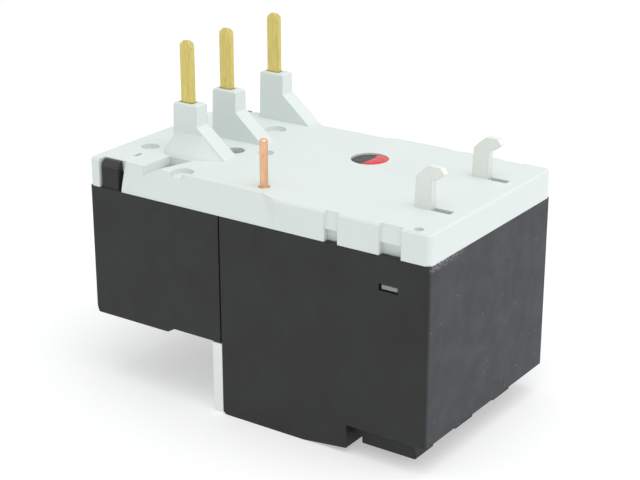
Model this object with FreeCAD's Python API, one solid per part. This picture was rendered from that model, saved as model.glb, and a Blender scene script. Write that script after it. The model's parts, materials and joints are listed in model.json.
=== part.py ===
import FreeCAD, Part
import math
import os

# Plug-on thermal overload relay for a 45 mm wide contactor, in millimetres.
# X runs across the width, Y from the operating front (-Y) to the mounting back (+Y), Z up.
# The origin is the centre of the bounding box, on the plane that the relay stands on.

V = FreeCAD.Vector

# ---- fits ----
RUNNING_GAP = 0.06
GUIDE_GAP = 0.1
FIT_GAP = 0.15
FACE_GAP = 0.05
PUSH_GAP = 0.05

# ---- housing, overall ----
WIDTH = 45.0
DEPTH = 78.2
BUTTON_PROUD = 0.8
PLATE_TOP_Z = 47.0
PLATE_SKIRT = 5.8
PLATE_THICKNESS = 2.2
PLATE_WALL = 1.5
PLATE_CORNER_R = 1.2
PLATE_EDGE = 0.4
HOUSING_WALL = 1.6
HOUSING_FLOOR = 1.8
HOUSING_CORNER_R = 0.6
FRONT_WALL = 3.0
RIB = 1.2
COIL_STEPS = 10
HALF = WIDTH / 2
BACK_Y = (DEPTH + BUTTON_PROUD) / 2
FRONT_Y = BACK_Y - DEPTH
SKIRT_Z = PLATE_TOP_Z - PLATE_SKIRT
CEILING_Z = PLATE_TOP_Z - PLATE_THICKNESS
INNER_X = HALF - HOUSING_WALL
FRONT_INNER_Y = FRONT_Y + FRONT_WALL

# ---- rear housing ----
REAR_LENGTH = 46.0
JOINT_GAP = 0.4
REAR_TOE_R = 1.0
LIFT_LENGTH = 17.2
LIFT_Z = 5.9
BELLY_FLAT_LENGTH = 19.1
BELLY_RISE = 1.1
KEEL_INSET = 2.0
KEEL_BACK_INSET = 3.4
KEEL_Z = 3.5
FOOT_DROP = 0.9
FOOT_WIDTH = 6.5
FOOT_DEPTH = 8.0
FOOT_PITCH = 14.7
FOOT_FIRST_X = 17.0
WINDOW_LENGTH = 4.1
WINDOW_HEIGHT = 1.4
WINDOW_FROM_BACK = 6.4
REAR_FRONT_Y = BACK_Y - REAR_LENGTH
BELLY_END_Y = REAR_FRONT_Y + BELLY_FLAT_LENGTH
LIFT_Y = BACK_Y - LIFT_LENGTH
SLIDE_Y = BACK_Y - WINDOW_FROM_BACK - WINDOW_LENGTH / 2

# ---- front housing ----
NOSE_BOTTOM_Z = 14.15
NOSE_STEP = 0.95
NOSE_LENGTH = 18.75
NOSE_STEP_RUN = 1.65
NOSE_CHAMFER_DEPTH = 0.8
NOSE_CHAMFER_HEIGHT = 1.85
POST_WIDTH = 4.1
POST_THICKNESS = 1.5
POST_INSET = 0.3
POST_FROM_FRONT = 3.1
POST_DROP = 0.5
POST_SLOT_FRONT = 0.5
POST_SLOT_BACK = 1.0
POST_BEVEL = 0.5
NOSE_BACK_Y = REAR_FRONT_Y - JOINT_GAP
NOSE_FLOOR_Z = NOSE_BOTTOM_Z + HOUSING_WALL

# ---- towers and blades on the top plate ----
TOWER_INNER_X = (7.98, -4.5)
TOWER_FROM_LEFT = 1.8
TOWER_TOP_WIDTH = 3.35
TOWER_DRAFT = 0.035
TOWER_LENGTH = 5.7
TOWER_FROM_FRONT = 11.35
TOWER_HEIGHT = 9.95
TOWER_EDGE = 0.3
RAMP_HEIGHT = 5.7
RAMP_LENGTH = 6.9
BLADE_WIDTH = 3.0
BLADE_THICKNESS = 1.4
BLADE_TIP_Z = 69.3
BLADE_SHOULDER = 1.5
BLADE_TIP_CUT = 0.9
BLADE_EDGE_CUT = 0.3
BLADE_FACE_CUT = 0.35
BLADE_FACE_FALL = 0.6
BLADE_IN_TOWER = 2.45
TOWER_X = TOWER_INNER_X + (TOWER_FROM_LEFT - HALF,)
TOWER_FRONT_Y = FRONT_Y + TOWER_FROM_FRONT
TOWER_BACK_Y = TOWER_FRONT_Y + TOWER_LENGTH
TOWER_TOP_Z = PLATE_TOP_Z + TOWER_HEIGHT
BLADE_Y = TOWER_FRONT_Y + BLADE_IN_TOWER

# ---- hooks, holes and marks on the top plate ----
HOOK_X = 10.4
HOOK_THICKNESS = 1.6
HOOK_LENGTH = 3.4
HOOK_FROM_BACK = 6.8
HOOK_HEIGHT = 8.1
HOOK_HEAD = 2.3
HOOK_NOSE = 2.6
HOOK_SLOT_LENGTH = 3.9
CALIBRATION_X = -7.7
CALIBRATION_BEHIND_JOINT = 14.0
CALIBRATION_HOLE_R = 3.75
CALIBRATION_BOSS_WALL = 1.2
CALIBRATION_BOSS_LENGTH = 3.6
CALIBRATION_HEAD_R = 3.55
CALIBRATION_HEAD_HEIGHT = 2.2
CALIBRATION_HEAD_DROP = 0.55
CALIBRATION_SHANK_R = 1.5
CALIBRATION_LENGTH = 5.4
LACQUER_THICKNESS = 0.35
WIRE_FROM_SIDE = 4.9
WIRE_BEHIND_JOINT = 7.0
WIRE_R = 0.78
WIRE_ROOT_R = 0.95
WIRE_TOP_Z = 56.3
WIRE_END_CUT = 0.25
MARK_DEPTH = 0.9
PLATE_MARKS = ((10.5, 5.7, 1.8), (-13.2, 19.4, 2.2), (0.8, 27.2, 1.6))
SIDE_MARK = (3.1, 21.2, 2.1)
CORNER_MARK = (1.8, 3.5, 0.9)
CORE_HOLE = (3.0, 21.2, 2.0)
PIP_SLOT = (6.4, 7.2, 2.0, 0.8)
CHUTE_X = 13.2
CHUTE_FROM_FRONT = 12.9
CHUTE_LENGTH = 5.7
CHUTE_DEPTH = 2.95
CHUTE_SIDE_RISE = 0.15
SIDE_LEAN = 1.5
SIDE_LEAN_END = 41.2
SIDE_LEAN_RUN = 4.0
SIDE_LEAN_RISE = 0.5
PLATE_RIB_PITCH = 14.7
TONGUE_NOTCHES = ((19.35, 22.2), (6.0, 10.5))
NOTCH_DEPTH = 1.0
NOTCH_STEP_DEPTH = 0.35
NOTCH_STEP_HEIGHT = 2.4
NOTCH_UNDERCUT = 0.2
CALIBRATION_Y = REAR_FRONT_Y + CALIBRATION_BEHIND_JOINT
WIRE_X = HALF - WIRE_FROM_SIDE
WIRE_Y = REAR_FRONT_Y + WIRE_BEHIND_JOINT
HEAD_TOP_Z = PLATE_TOP_Z - CALIBRATION_HEAD_DROP
SEAT_Z = HEAD_TOP_Z - CALIBRATION_HEAD_HEIGHT
BOSS_BOTTOM_Z = SEAT_Z - CALIBRATION_BOSS_LENGTH

# ---- main terminals ----
TERMINAL_SIDE_GAP = 0.9
TERMINAL_Z = 7.6
COVER_THICKNESS = 2.3
COVER_BOTTOM_Z = 0.4
COVER_TOP_Z = 14.9
COVER_CORNER_R = 1.2
COVER_HOLE_R = 3.0
ACCESS_HOLE_R = 3.4
SCREW_R = 1.75
SCREW_HEAD_R = 2.8
SCREW_HEAD_HEIGHT = 2.0
SCREW_HEAD_GAP = 0.5
SCREW_SLOT = 0.7
SCREW_SLOT_DEPTH = 0.9
CLAMP_SIZE = 7.0
CLAMP_THICKNESS = 1.0
CLAMP_CORNER = 1.0
WIRE_SPACE = 4.5
STRIP_THICKNESS = 1.2
STRIP_WIDTH = 6.0
POLE_STRIP_WIDTH = 3.0
POLE_STRIP_BEND = 6.0
STRIP_BOTTOM_Z = 2.2
EAR_WALL = 1.1
EAR_THICKNESS = 1.0
CELL_WALL = 1.4
ENTRY_WIDTH = 7.0
TERMINAL_PITCH = (INNER_X - TERMINAL_SIDE_GAP - CLAMP_SIZE / 2) / 1.5
TERMINAL_X = tuple(TERMINAL_PITCH * (k - 1.5) for k in range(4))
HEAD_Y = REAR_FRONT_Y + HOUSING_WALL + SCREW_HEAD_GAP
CLAMP_Y = HEAD_Y + SCREW_HEAD_HEIGHT + FACE_GAP
STRIP_Y = CLAMP_Y + CLAMP_THICKNESS + WIRE_SPACE
CELL_BACK_Y = STRIP_Y + STRIP_THICKNESS + FACE_GAP

# ---- auxiliary terminals in the nose ----
AUX_Z = 20.2
AUX_HOLE_R = 2.95
AUX_SCREW_R = 1.5
AUX_HEAD_R = 2.5
AUX_HEAD_HEIGHT = 1.8
AUX_CLAMP_SIZE = 6.4
AUX_CLAMP_THICKNESS = 0.8
AUX_WIRE_SPACE = 4.2
RAIL_THICKNESS = 0.8
RAIL_WIDTH = 6.0
RAIL_BOTTOM_Z = 16.6
AUX_RIB_TOP_Z = 23.8
AUX_ENTRY_WIDTH = 6.0
AUX_HEAD_Y = FRONT_INNER_Y + SCREW_HEAD_GAP
AUX_CLAMP_Y = AUX_HEAD_Y + AUX_HEAD_HEIGHT + FACE_GAP
RAIL_Y = AUX_CLAMP_Y + AUX_CLAMP_THICKNESS + AUX_WIRE_SPACE
AUX_RIB_Y = RAIL_Y + RAIL_THICKNESS + FACE_GAP

# ---- operating front ----
FASCIA_MARGIN = 2.5
FASCIA_HEIGHT = 13.6
FASCIA_THICKNESS = 1.2
FASCIA_Z = 33.4
FASCIA_CORNER_R = 1.0
DIAL_X = -9.0
DIAL_R = 5.6
DIAL_GAP = 0.2
DIAL_SINK = 0.2
DIAL_THICKNESS = 1.8
DIAL_SHAFT_R = 2.0
SHAFT_FLAT = 1.2
DIAL_SLOT = 1.1
DIAL_SLOT_LENGTH = 6.8
DIAL_SLOT_DEPTH = 1.1
POINTER_WIDTH = 1.4
POINTER_LENGTH = 1.5
DIAL_TRAVEL = 135.0
CAM_R = 3.6
CAM_RISE = 0.5
CAM_THICKNESS = 1.5
CAM_ARCS = 5
RESET_TO_STOP = 9.4
RESET_R = 3.4
RESET_SLOT = 0.9
RESET_SLOT_LENGTH = 4.8
RESET_SLOT_DEPTH = 1.0
RESET_CAP = 1.5
RESET_PIN_R = 1.3
COLLAR_THICKNESS = 1.0
COLLAR_LIP = 0.9
STEM_R = 1.5
STEM_LENGTH = 8.4
STOP_FROM_SIDE = 6.9
STOP_DROP = 1.4
STOP_R = 1.9
STOP_STEM_R = 1.2
STOP_STEM_LENGTH = 7.0
BUTTON_HOLE_GAP = 0.2
BUTTON_EDGE = 0.35
FLAG_WIDTH = 3.6
FLAG_HEIGHT = 2.2
FLAG_RISE = 4.3
FLAG_LAP = 0.4
FLAG_THICKNESS = 0.7
GUIDE_FROM_FRONT = 8.2
GUIDE_BOTTOM_Z = 26.0
GUIDE_TOP_Z = 36.2
GUIDE_SIDE_WALL = 1.1
GUIDE_SIDE_GAP = 0.4
SPRING_GAP = 0.4
SPRING_TURNS = 3
RESET_WIRE = 0.5
STOP_WIRE = 0.4
FASCIA_WIDTH = WIDTH - 2 * FASCIA_MARGIN
STOP_X = HALF - STOP_FROM_SIDE
RESET_X = STOP_X - RESET_TO_STOP
STOP_Z = FASCIA_Z - STOP_DROP
GUIDE_Y = FRONT_Y + GUIDE_FROM_FRONT
GUIDE_SIDE_X = RESET_X - RESET_R - COLLAR_LIP - GUIDE_SIDE_GAP - GUIDE_SIDE_WALL

# ---- thermal system ----
POLE_PITCH = 13.0
POLE_X = tuple(POLE_PITCH * (1 - k) for k in range(3))
BIMETAL_FROM_BACK = 17.5
BIMETAL_THICKNESS = 0.9
BIMETAL_WIDTH = 5.0
BIMETAL_FOOT_Z = 13.2
BIMETAL_TIP_Z = 37.0
SLEEVE_WALL = 0.5
SLEEVE_BOTTOM_Z = 16.0
SLEEVE_TOP_Z = 30.2
HEATER_THICKNESS = 0.5
HEATER_STRIP = 1.1
HEATER_TURNS = 8
HEATER_PITCH = 1.55
LEAD_THICKNESS = 0.8
LEAD_WIDTH = 2.4
LEAD_RUN = 2.9
LEAD_Z = 42.2
LEAD_DROP_Z = 27.5
UNDER_LEADS_Z = LEAD_Z + LEAD_THICKNESS + FACE_GAP
BIMETAL_Y = BACK_Y - BIMETAL_FROM_BACK
SLEEVE_X = BIMETAL_THICKNESS / 2 + FIT_GAP + SLEEVE_WALL
SLEEVE_Y = BIMETAL_WIDTH / 2 + FIT_GAP + SLEEVE_WALL
HEATER_Y = SLEEVE_Y + GUIDE_GAP + HEATER_THICKNESS
DROP_Y = BIMETAL_Y - HEATER_Y - FACE_GAP - LEAD_THICKNESS

# ---- slides ----
TRIP_TRAVEL = 2.0
SLIDE_Z = 34.65
SLIDE_THICKNESS = 1.1
SLIDE_SPACING = 1.5
SLIDE_BAR = 3.4
SLIDE_END_GAP = 0.3
SLIDE_STROKE_GAP = 0.5
FINGER_WIDTH = 1.4
FINGER_LENGTH = 9.6
FINGER_GAP = 0.3
COMB_X = 16.4
COMB_FRONT = 0.5
COMB_LIP = 1.0

# ---- trip lever ----
LEVER_Z = 30.4
LEVER_THICKNESS = 2.5
LEVER_WIDTH = 2.4
LEVER_HUB_R = 3.2
LEVER_GUSSET = 2.4
LEVER_GUSSET_REACH = 11.4
SLIDE_ARM = 3.05
LEVER_LAP = 0.4
LEVER_PIN_R = 1.4
LEVER_PIN_STANDS = 0.9
LEVER_PIN_SUNK = 13.4
LEVER_PIN_Z = LEVER_Z - LEVER_PIN_SUNK
SLIDE_TAB_Y = SLIDE_Y - SLIDE_BAR / 2 - SLIDE_ARM
LEVER_REACH = SLIDE_TAB_Y - LEVER_LAP / 2 - CALIBRATION_Y
LEVER_POST_R = 2.1
TAB_LENGTH = 1.8

# ---- auxiliary contacts ----
CARRIER_FROM_FRONT = 15.5
CARRIER_Z = 27.6
CARRIER_HEIGHT = 4.0
CARRIER_WIDTH = 4.2
CARRIER_LENGTH = 35.0
BRIDGE_STATION = 12.4
BRIDGE_THICKNESS = 0.5
BRIDGE_LENGTH = 11.0
BRIDGE_HEIGHT = 2.4
BRIDGE_SPAN = 8.0
BRIDGE_SPRING = 3.0
CONTACT_R = 1.0
CONTACT_THICKNESS = 0.6
CONTACT_GAP = 0.02
RAIL_TAB = 2.4
RAIL_TAB_TOP_Z = 30.9
RAIL_UNDER_Z = 24.2
RAIL_UNDER_HEIGHT = 2.2
SADDLE_X = 16.0
SADDLE_HEIGHT = 3.2
BRIDGE_WIRE = 0.3
CARRIER_WIRE = 0.4
CARRIER_Y = FRONT_Y + CARRIER_FROM_FRONT
BRIDGE_Z = CARRIER_Z + CARRIER_HEIGHT / 2

# ---- setting lever ----
SETTING_FROM_FRONT = 10.4
SETTING_SIDE_GAP = 0.3
SETTING_Z = 33.2
SETTING_THICKNESS = 2.4
SETTING_HUB_R = 1.9
SETTING_ARM = 1.4
CLIP_LENGTH = 2.4
CLIP_HALF = 1.0
SETTING_NOSE_R = 0.8
SETTING_PIN_R = 1.0
SETTING_BOSS_R = 2.0
SETTING_BOSS_Z = 36.2
SETTING_PIN_CAP = 1.2
COMPENSATION_LENGTH = 15.35
COMPENSATION_THICKNESS = 0.6
COMPENSATION_HEIGHT = 2.6
SETTING_PIN_TOP_Z = CEILING_Z - SETTING_PIN_CAP
SETTING_X = GUIDE_SIDE_X - SETTING_SIDE_GAP - SETTING_HUB_R
SETTING_Y = FRONT_Y + SETTING_FROM_FRONT
CAM_Y = FRONT_INNER_Y + FIT_GAP
NOSE_IN_CAM = 1.1
NOSE_X = DIAL_X + CAM_R + PUSH_GAP * 2 + SETTING_NOSE_R


def box(x0, x1, y0, y1, z0, z1):
    """A box from its two extreme corners."""
    return Part.makeBox(x1 - x0, y1 - y0, z1 - z0, V(x0, y0, z0))


def centred(x, y, wide, deep, z0, z1):
    """A box centred on x, y."""
    return box(x - wide / 2, x + wide / 2, y - deep / 2, y + deep / 2, z0, z1)


def rod(x, y, z0, z1, r):
    """An upright cylinder."""
    return Part.makeCylinder(r, z1 - z0, V(x, y, z0))


def rod_y(x, z, y0, y1, r):
    """A cylinder along Y."""
    return Part.makeCylinder(r, y1 - y0, V(x, y0, z), V(0, 1, 0))


def rod_x(y, z, x0, x1, r):
    """A cylinder along X."""
    return Part.makeCylinder(r, x1 - x0, V(x0, y, z), V(1, 0, 0))


def side_prism(points, x0, x1):
    """A closed outline in Y and Z, extruded along X."""
    face = Part.Face(Part.makePolygon([V(x0, y, z) for y, z in points + points[:1]]))
    return face.extrude(V(x1 - x0, 0, 0))


def front_prism(points, y0, y1):
    """A closed outline in X and Z, extruded along Y."""
    face = Part.Face(Part.makePolygon([V(x, y0, z) for x, z in points + points[:1]]))
    return face.extrude(V(0, y1 - y0, 0))


def plan_prism(points, z0, z1):
    """A closed outline in X and Y, extruded upwards."""
    face = Part.Face(Part.makePolygon([V(x, y, z0) for x, y in points + points[:1]]))
    return face.extrude(V(0, 0, z1 - z0))


def fuse(pieces):
    """Several touching pieces as one solid."""
    pieces = list(pieces)
    return pieces[0].multiFuse(pieces[1:]).removeSplitter()


def cut(body, tools):
    """A body with every tool taken out of it."""
    return body.cut(Part.Compound(list(tools)))


def ribbon(route, width, z0, z1):
    """A flat strip of constant width that follows a route in plan, with mitred turns."""
    left, right = [], []
    for i, (x, y) in enumerate(route):
        before, after = route[max(i - 1, 0)], route[min(i + 1, len(route) - 1)]
        into = V(x - before[0], y - before[1], 0)
        out = V(after[0] - x, after[1] - y, 0)
        into = out if into.Length == 0 else into.normalize()
        out = into if out.Length == 0 else out.normalize()
        into = V(into).normalize()
        mitre = V(-into.y - out.y, into.x + out.x, 0).normalize()
        reach = width / 2 / mitre.dot(V(-into.y, into.x, 0))
        left.append((x + mitre.x * reach, y + mitre.y * reach))
        right.append((x - mitre.x * reach, y - mitre.y * reach))
    return plan_prism(left + right[::-1], z0, z1)


def upright_edges(shape, corners):
    """The upright edges that stand on the given plan corners."""
    found = []
    for edge in shape.Edges:
        a, b = edge.Vertexes[0].Point, edge.Vertexes[-1].Point
        if abs(a.x - b.x) > 0.01 or abs(a.y - b.y) > 0.01:
            continue
        if any(abs(a.x - x) < 0.01 and abs(a.y - y) < 0.01 for x, y in corners):
            found.append(edge)
    return found


def mirrored(pieces):
    """Pieces with their mirror images about the middle plane."""
    return list(pieces) + [p.mirror(V(0, 0, 0), V(1, 0, 0)) for p in pieces]


def faceted_solid(sections):
    """A solid with flat facets through a row of closed sections with equal point counts."""
    outlines = [sections[0], sections[-1]]
    for near, far in zip(sections, sections[1:]):
        for k in range(len(near)):
            outlines.append([near[k - 1], near[k], far[k]])
            outlines.append([near[k - 1], far[k], far[k - 1]])
    faces = [Part.Face(Part.makePolygon(points + points[:1])) for points in outlines]
    solid = Part.Solid(Part.makeShell(faces))
    return solid if solid.Volume > 0 else solid.reversed()


def coil(start, axis, length, mean_r, wire, turns):
    """A compression spring along an axis, made through six-sided sections of its wire."""
    steps = COIL_STEPS * turns
    sections = []
    for k in range(steps + 1):
        turn = 2 * math.pi * k / COIL_STEPS
        height = wire / 2 + (length - wire) * k / steps
        ring = []
        for side in range(6):
            angle = math.pi * (2 * side + 1) / 6
            reach = mean_r + wire / 2 * math.cos(angle)
            rise = height + wire / 2 * math.sin(angle)
            ring.append(V(reach * math.cos(turn), reach * math.sin(turn), rise))
        sections.append(ring)
    spring = faceted_solid(sections)
    spring.Placement = FreeCAD.Placement(start, FreeCAD.Rotation(V(0, 0, 1), axis))
    return spring


def slotted_screw(x, z, head_y, head_height, length, head_r, shank_r):
    """A slotted cheese-head screw along Y, with its head to the front."""
    head = rod_y(x, z, head_y, head_y + head_height, head_r)
    shank = rod_y(x, z, head_y + head_height, head_y + length, shank_r)
    slot = centred(x, head_y, 2 * head_r + 1, 2 * SCREW_SLOT_DEPTH, z - SCREW_SLOT / 2, z + SCREW_SLOT / 2)
    return cut(fuse([head, shank]), [slot])


# ======== top plate ========

def plate_shell():
    """The plate with its skirt, rounded outside and hollow underneath."""
    shell = box(-HALF, HALF, FRONT_Y, BACK_Y, SKIRT_Z, PLATE_TOP_Z)
    corners = [(x, y) for x in (-HALF, HALF) for y in (FRONT_Y, BACK_Y)]
    shell = shell.makeFillet(PLATE_CORNER_R, upright_edges(shell, corners))
    rim = [e for e in shell.Edges if all(v.Z > PLATE_TOP_Z - 0.01 for v in e.Vertexes)]
    shell = shell.makeChamfer(PLATE_EDGE, rim)
    inside = HALF - PLATE_WALL
    return shell.cut(box(-inside, inside, FRONT_Y + PLATE_WALL, BACK_Y - PLATE_WALL, SKIRT_Z, CEILING_Z))


def side_lean():
    """What the leaning front part of a side wall leaves out."""
    outline = [(HALF, SKIRT_Z + SIDE_LEAN_RISE), (HALF - SIDE_LEAN, PLATE_TOP_Z), (HALF, PLATE_TOP_Z + 1)]
    lean = front_prism(outline, FRONT_Y, BACK_Y)
    start = FRONT_Y + POST_FROM_FRONT + POST_WIDTH
    end = FRONT_Y + SIDE_LEAN_END
    inner = HALF - SIDE_LEAN
    plan = [(inner - 1, start), (HALF + 1, start), (HALF + 1, end + SIDE_LEAN_RUN),
            (HALF, end + SIDE_LEAN_RUN), (inner, end), (inner - 1, end)]
    return lean.common(plan_prism(plan, SKIRT_Z, PLATE_TOP_Z + 1))


def skirt_notches():
    """The stepped notches that free the snap tongues of one side."""
    notches = []
    for near, far in TONGUE_NOTCHES:
        step_z = SKIRT_Z + NOTCH_STEP_HEIGHT
        face = HALF - NOTCH_DEPTH
        outline = [(HALF + 1, SKIRT_Z), (face - NOTCH_UNDERCUT, SKIRT_Z), (face - NOTCH_UNDERCUT, step_z),
                   (HALF - NOTCH_STEP_DEPTH, step_z), (face, PLATE_TOP_Z + 1), (HALF + 1, PLATE_TOP_Z + 1)]
        notches.append(front_prism(outline, BACK_Y - far, BACK_Y - near))
    return notches


def post_slot():
    """The corner slot that lets a post of the front housing through."""
    inner = HALF - POST_INSET - POST_THICKNESS - FIT_GAP
    front = FRONT_Y + POST_FROM_FRONT - POST_SLOT_FRONT
    back = FRONT_Y + POST_FROM_FRONT + POST_WIDTH + POST_SLOT_BACK
    return box(inner, HALF + 1, front, back, SKIRT_Z, PLATE_TOP_Z + 1)


def tower(x):
    """A tapered insulating tower with the ramp behind it."""
    foot_z, ramp_z = CEILING_Z, PLATE_TOP_Z + RAMP_HEIGHT
    edge_z = TOWER_TOP_Z - TOWER_EDGE
    end_y = TOWER_BACK_Y + RAMP_LENGTH * (ramp_z - foot_z) / RAMP_HEIGHT
    top = TOWER_TOP_WIDTH / 2
    foot = top + TOWER_DRAFT * (TOWER_TOP_Z - foot_z)
    half = [(foot, foot_z), (top, edge_z), (top - TOWER_EDGE, TOWER_TOP_Z)]
    taper = front_prism(half + [(-dx, z) for dx, z in half[::-1]], TOWER_FRONT_Y, end_y)
    outline = [(TOWER_FRONT_Y, foot_z), (TOWER_FRONT_Y, edge_z), (TOWER_FRONT_Y + TOWER_EDGE, TOWER_TOP_Z),
               (TOWER_BACK_Y - TOWER_EDGE, TOWER_TOP_Z), (TOWER_BACK_Y, edge_z), (TOWER_BACK_Y, ramp_z),
               (end_y, foot_z)]
    side = side_prism(outline, -foot, foot)
    body = taper.common(side)
    body.translate(V(x, 0, 0))
    return body.common(box(-HALF, HALF, FRONT_Y, BACK_Y, SKIRT_Z, TOWER_TOP_Z))


def blade_slot(x):
    """The clearance for a blade through its tower."""
    return centred(x, BLADE_Y, BLADE_THICKNESS + 2 * FIT_GAP, BLADE_WIDTH + 2 * FIT_GAP,
                   LEAD_Z - FIT_GAP, TOWER_TOP_Z + 1)


def hook(x):
    """A snap hook whose nose points to the mounting back."""
    back = BACK_Y - HOOK_FROM_BACK
    front = back - HOOK_LENGTH
    top = PLATE_TOP_Z + HOOK_HEIGHT
    neck = top - HOOK_HEAD
    outline = [(front, CEILING_Z), (front + 0.2, neck), (front + HOOK_LENGTH * 0.35, neck + HOOK_HEAD * 0.45),
               (back - HOOK_LENGTH * 0.2, top), (back + HOOK_NOSE * 0.65, top),
               (back + HOOK_NOSE, top - HOOK_HEAD * 0.5), (back + HOOK_NOSE * 0.4, neck), (back, neck - 0.1),
               (back, CEILING_Z)]
    return side_prism(outline, x - HOOK_THICKNESS / 2, x + HOOK_THICKNESS / 2)


def hook_slot(x):
    """The opening under a hook's nose."""
    front = BACK_Y - HOOK_FROM_BACK
    half = HOOK_THICKNESS / 2
    return box(x - half, x + half, front, front + HOOK_SLOT_LENGTH, SKIRT_Z, PLATE_TOP_Z + 1)


def chute():
    """The wedge-shaped recess beside the first tower."""
    front = FRONT_Y + CHUTE_FROM_FRONT
    bottom = PLATE_TOP_Z - CHUTE_DEPTH
    wedge = side_prism([(front, bottom), (front + 2 * CHUTE_LENGTH, bottom + 2 * CHUTE_DEPTH),
                        (front, bottom + 2 * CHUTE_DEPTH)], CHUTE_X, HALF + 2)
    wedge.rotate(V(CHUTE_X, front, bottom), V(0, 1, 0), -math.degrees(math.atan(CHUTE_SIDE_RISE)))
    return wedge.common(box(CHUTE_X, HALF + 1, front, BACK_Y, SKIRT_Z, PLATE_TOP_Z + 1))


def plate_marks():
    """Ejector marks, the core hole and the small slot in the plate's face."""
    floor = PLATE_TOP_Z - MARK_DEPTH
    marks = [rod(x, FRONT_Y + front, floor, PLATE_TOP_Z + 1, r) for x, front, r in PLATE_MARKS]
    side, front, r = SIDE_MARK
    marks.append(rod(HALF - side, FRONT_Y + front, floor, PLATE_TOP_Z + 1, r))
    side, back, r = CORNER_MARK
    marks.append(rod(HALF - side, BACK_Y - back, floor, PLATE_TOP_Z + 1, r))
    x, front, r = CORE_HOLE
    marks.append(rod(x, FRONT_Y + front, SKIRT_Z, PLATE_TOP_Z + 1, r))
    side, front, wide, deep = PIP_SLOT
    marks.append(centred(HALF - side, FRONT_Y + front, wide, deep, floor, PLATE_TOP_Z + 1))
    return marks


def plate_bosses():
    """The screw's boss, the well round its head and the boss of the setting pin."""
    well_r = CALIBRATION_HOLE_R + CALIBRATION_BOSS_WALL
    boss_r = CALIBRATION_SHANK_R + CALIBRATION_BOSS_WALL
    return [rod(CALIBRATION_X, CALIBRATION_Y, BOSS_BOTTOM_Z, CEILING_Z, boss_r),
            rod(CALIBRATION_X, CALIBRATION_Y, UNDER_LEADS_Z, PLATE_TOP_Z - MARK_DEPTH, well_r),
            rod(SETTING_X, SETTING_Y, SETTING_BOSS_Z, CEILING_Z, SETTING_BOSS_R)]


def plate_holes():
    """The slots and bores that pass through the plate and its bosses."""
    above = PLATE_TOP_Z + 1
    slots = [blade_slot(x) for x in TOWER_X] + [hook_slot(x) for x in (-HOOK_X, HOOK_X)]
    pin_top = SETTING_PIN_TOP_Z + FACE_GAP
    return slots + [
        rod(CALIBRATION_X, CALIBRATION_Y, SEAT_Z, above, CALIBRATION_HOLE_R),
        rod(CALIBRATION_X, CALIBRATION_Y, BOSS_BOTTOM_Z - 1, SEAT_Z, CALIBRATION_SHANK_R + RUNNING_GAP),
        rod(WIRE_X, WIRE_Y, SKIRT_Z, above, WIRE_ROOT_R + FIT_GAP),
        rod(SETTING_X, SETTING_Y, SETTING_BOSS_Z - 1, pin_top, SETTING_PIN_R + RUNNING_GAP)]


def top_plate():
    """The plate that faces the contactor, with towers, hooks and bosses."""
    inside = HALF - PLATE_WALL
    ribs = [box(-inside, inside, y - RIB / 2, y + RIB / 2, UNDER_LEADS_Z, CEILING_Z)
            for y in (REAR_FRONT_Y, REAR_FRONT_Y + PLATE_RIB_PITCH)]
    cuts = mirrored([side_lean(), post_slot()] + skirt_notches())
    shell = cut(plate_shell(), cuts + [chute()] + plate_marks())
    towers = [tower(x) for x in TOWER_X]
    hooks = [hook(x) for x in (-HOOK_X, HOOK_X)]
    return cut(fuse([shell] + ribs + plate_bosses() + towers + hooks), plate_holes())


def calibration_screw():
    """The factory adjusting screw in the plate's round well."""
    head = rod(CALIBRATION_X, CALIBRATION_Y, SEAT_Z, HEAD_TOP_Z, CALIBRATION_HEAD_R)
    shank = rod(CALIBRATION_X, CALIBRATION_Y, HEAD_TOP_Z - CALIBRATION_LENGTH, SEAT_Z, CALIBRATION_SHANK_R)
    slot = centred(CALIBRATION_X, CALIBRATION_Y, 2 * CALIBRATION_HEAD_R + 1, SCREW_SLOT,
                   HEAD_TOP_Z - SCREW_SLOT_DEPTH, HEAD_TOP_Z + 1)
    return cut(fuse([head, shank]), [slot])


def sealing_lacquer():
    """The drop of red lacquer that seals the rear half of the screw head."""
    drop = rod(CALIBRATION_X, CALIBRATION_Y, HEAD_TOP_Z, HEAD_TOP_Z + LACQUER_THICKNESS, CALIBRATION_HEAD_R)
    front = CALIBRATION_Y + SCREW_SLOT / 2
    reach = CALIBRATION_HEAD_R + 1
    return drop.common(box(CALIBRATION_X - reach, CALIBRATION_X + reach, front, front + reach,
                           HEAD_TOP_Z, HEAD_TOP_Z + LACQUER_THICKNESS))


# ======== front housing ========

def nose_outline():
    """The side outline of the front housing."""
    bottom = NOSE_BOTTOM_Z
    chamfer_y = FRONT_Y + NOSE_CHAMFER_DEPTH
    step_y = FRONT_Y + NOSE_LENGTH
    return [(FRONT_Y, SKIRT_Z), (FRONT_Y, bottom + NOSE_CHAMFER_HEIGHT), (chamfer_y, bottom),
            (step_y, bottom), (step_y + NOSE_STEP_RUN, bottom + NOSE_STEP),
            (NOSE_BACK_Y, bottom + NOSE_STEP), (NOSE_BACK_Y, SKIRT_Z)]


def corner_post():
    """The post at a front corner that passes through the plate."""
    outer = HALF - POST_INSET
    front = FRONT_Y + POST_FROM_FRONT
    top = PLATE_TOP_Z - POST_DROP
    outline = [(outer - POST_THICKNESS, SKIRT_Z - HOUSING_WALL), (outer, SKIRT_Z - HOUSING_WALL),
               (outer, top - POST_BEVEL), (outer - POST_BEVEL, top), (outer - POST_THICKNESS, top)]
    return front_prism(outline, front, front + POST_WIDTH)


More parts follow.
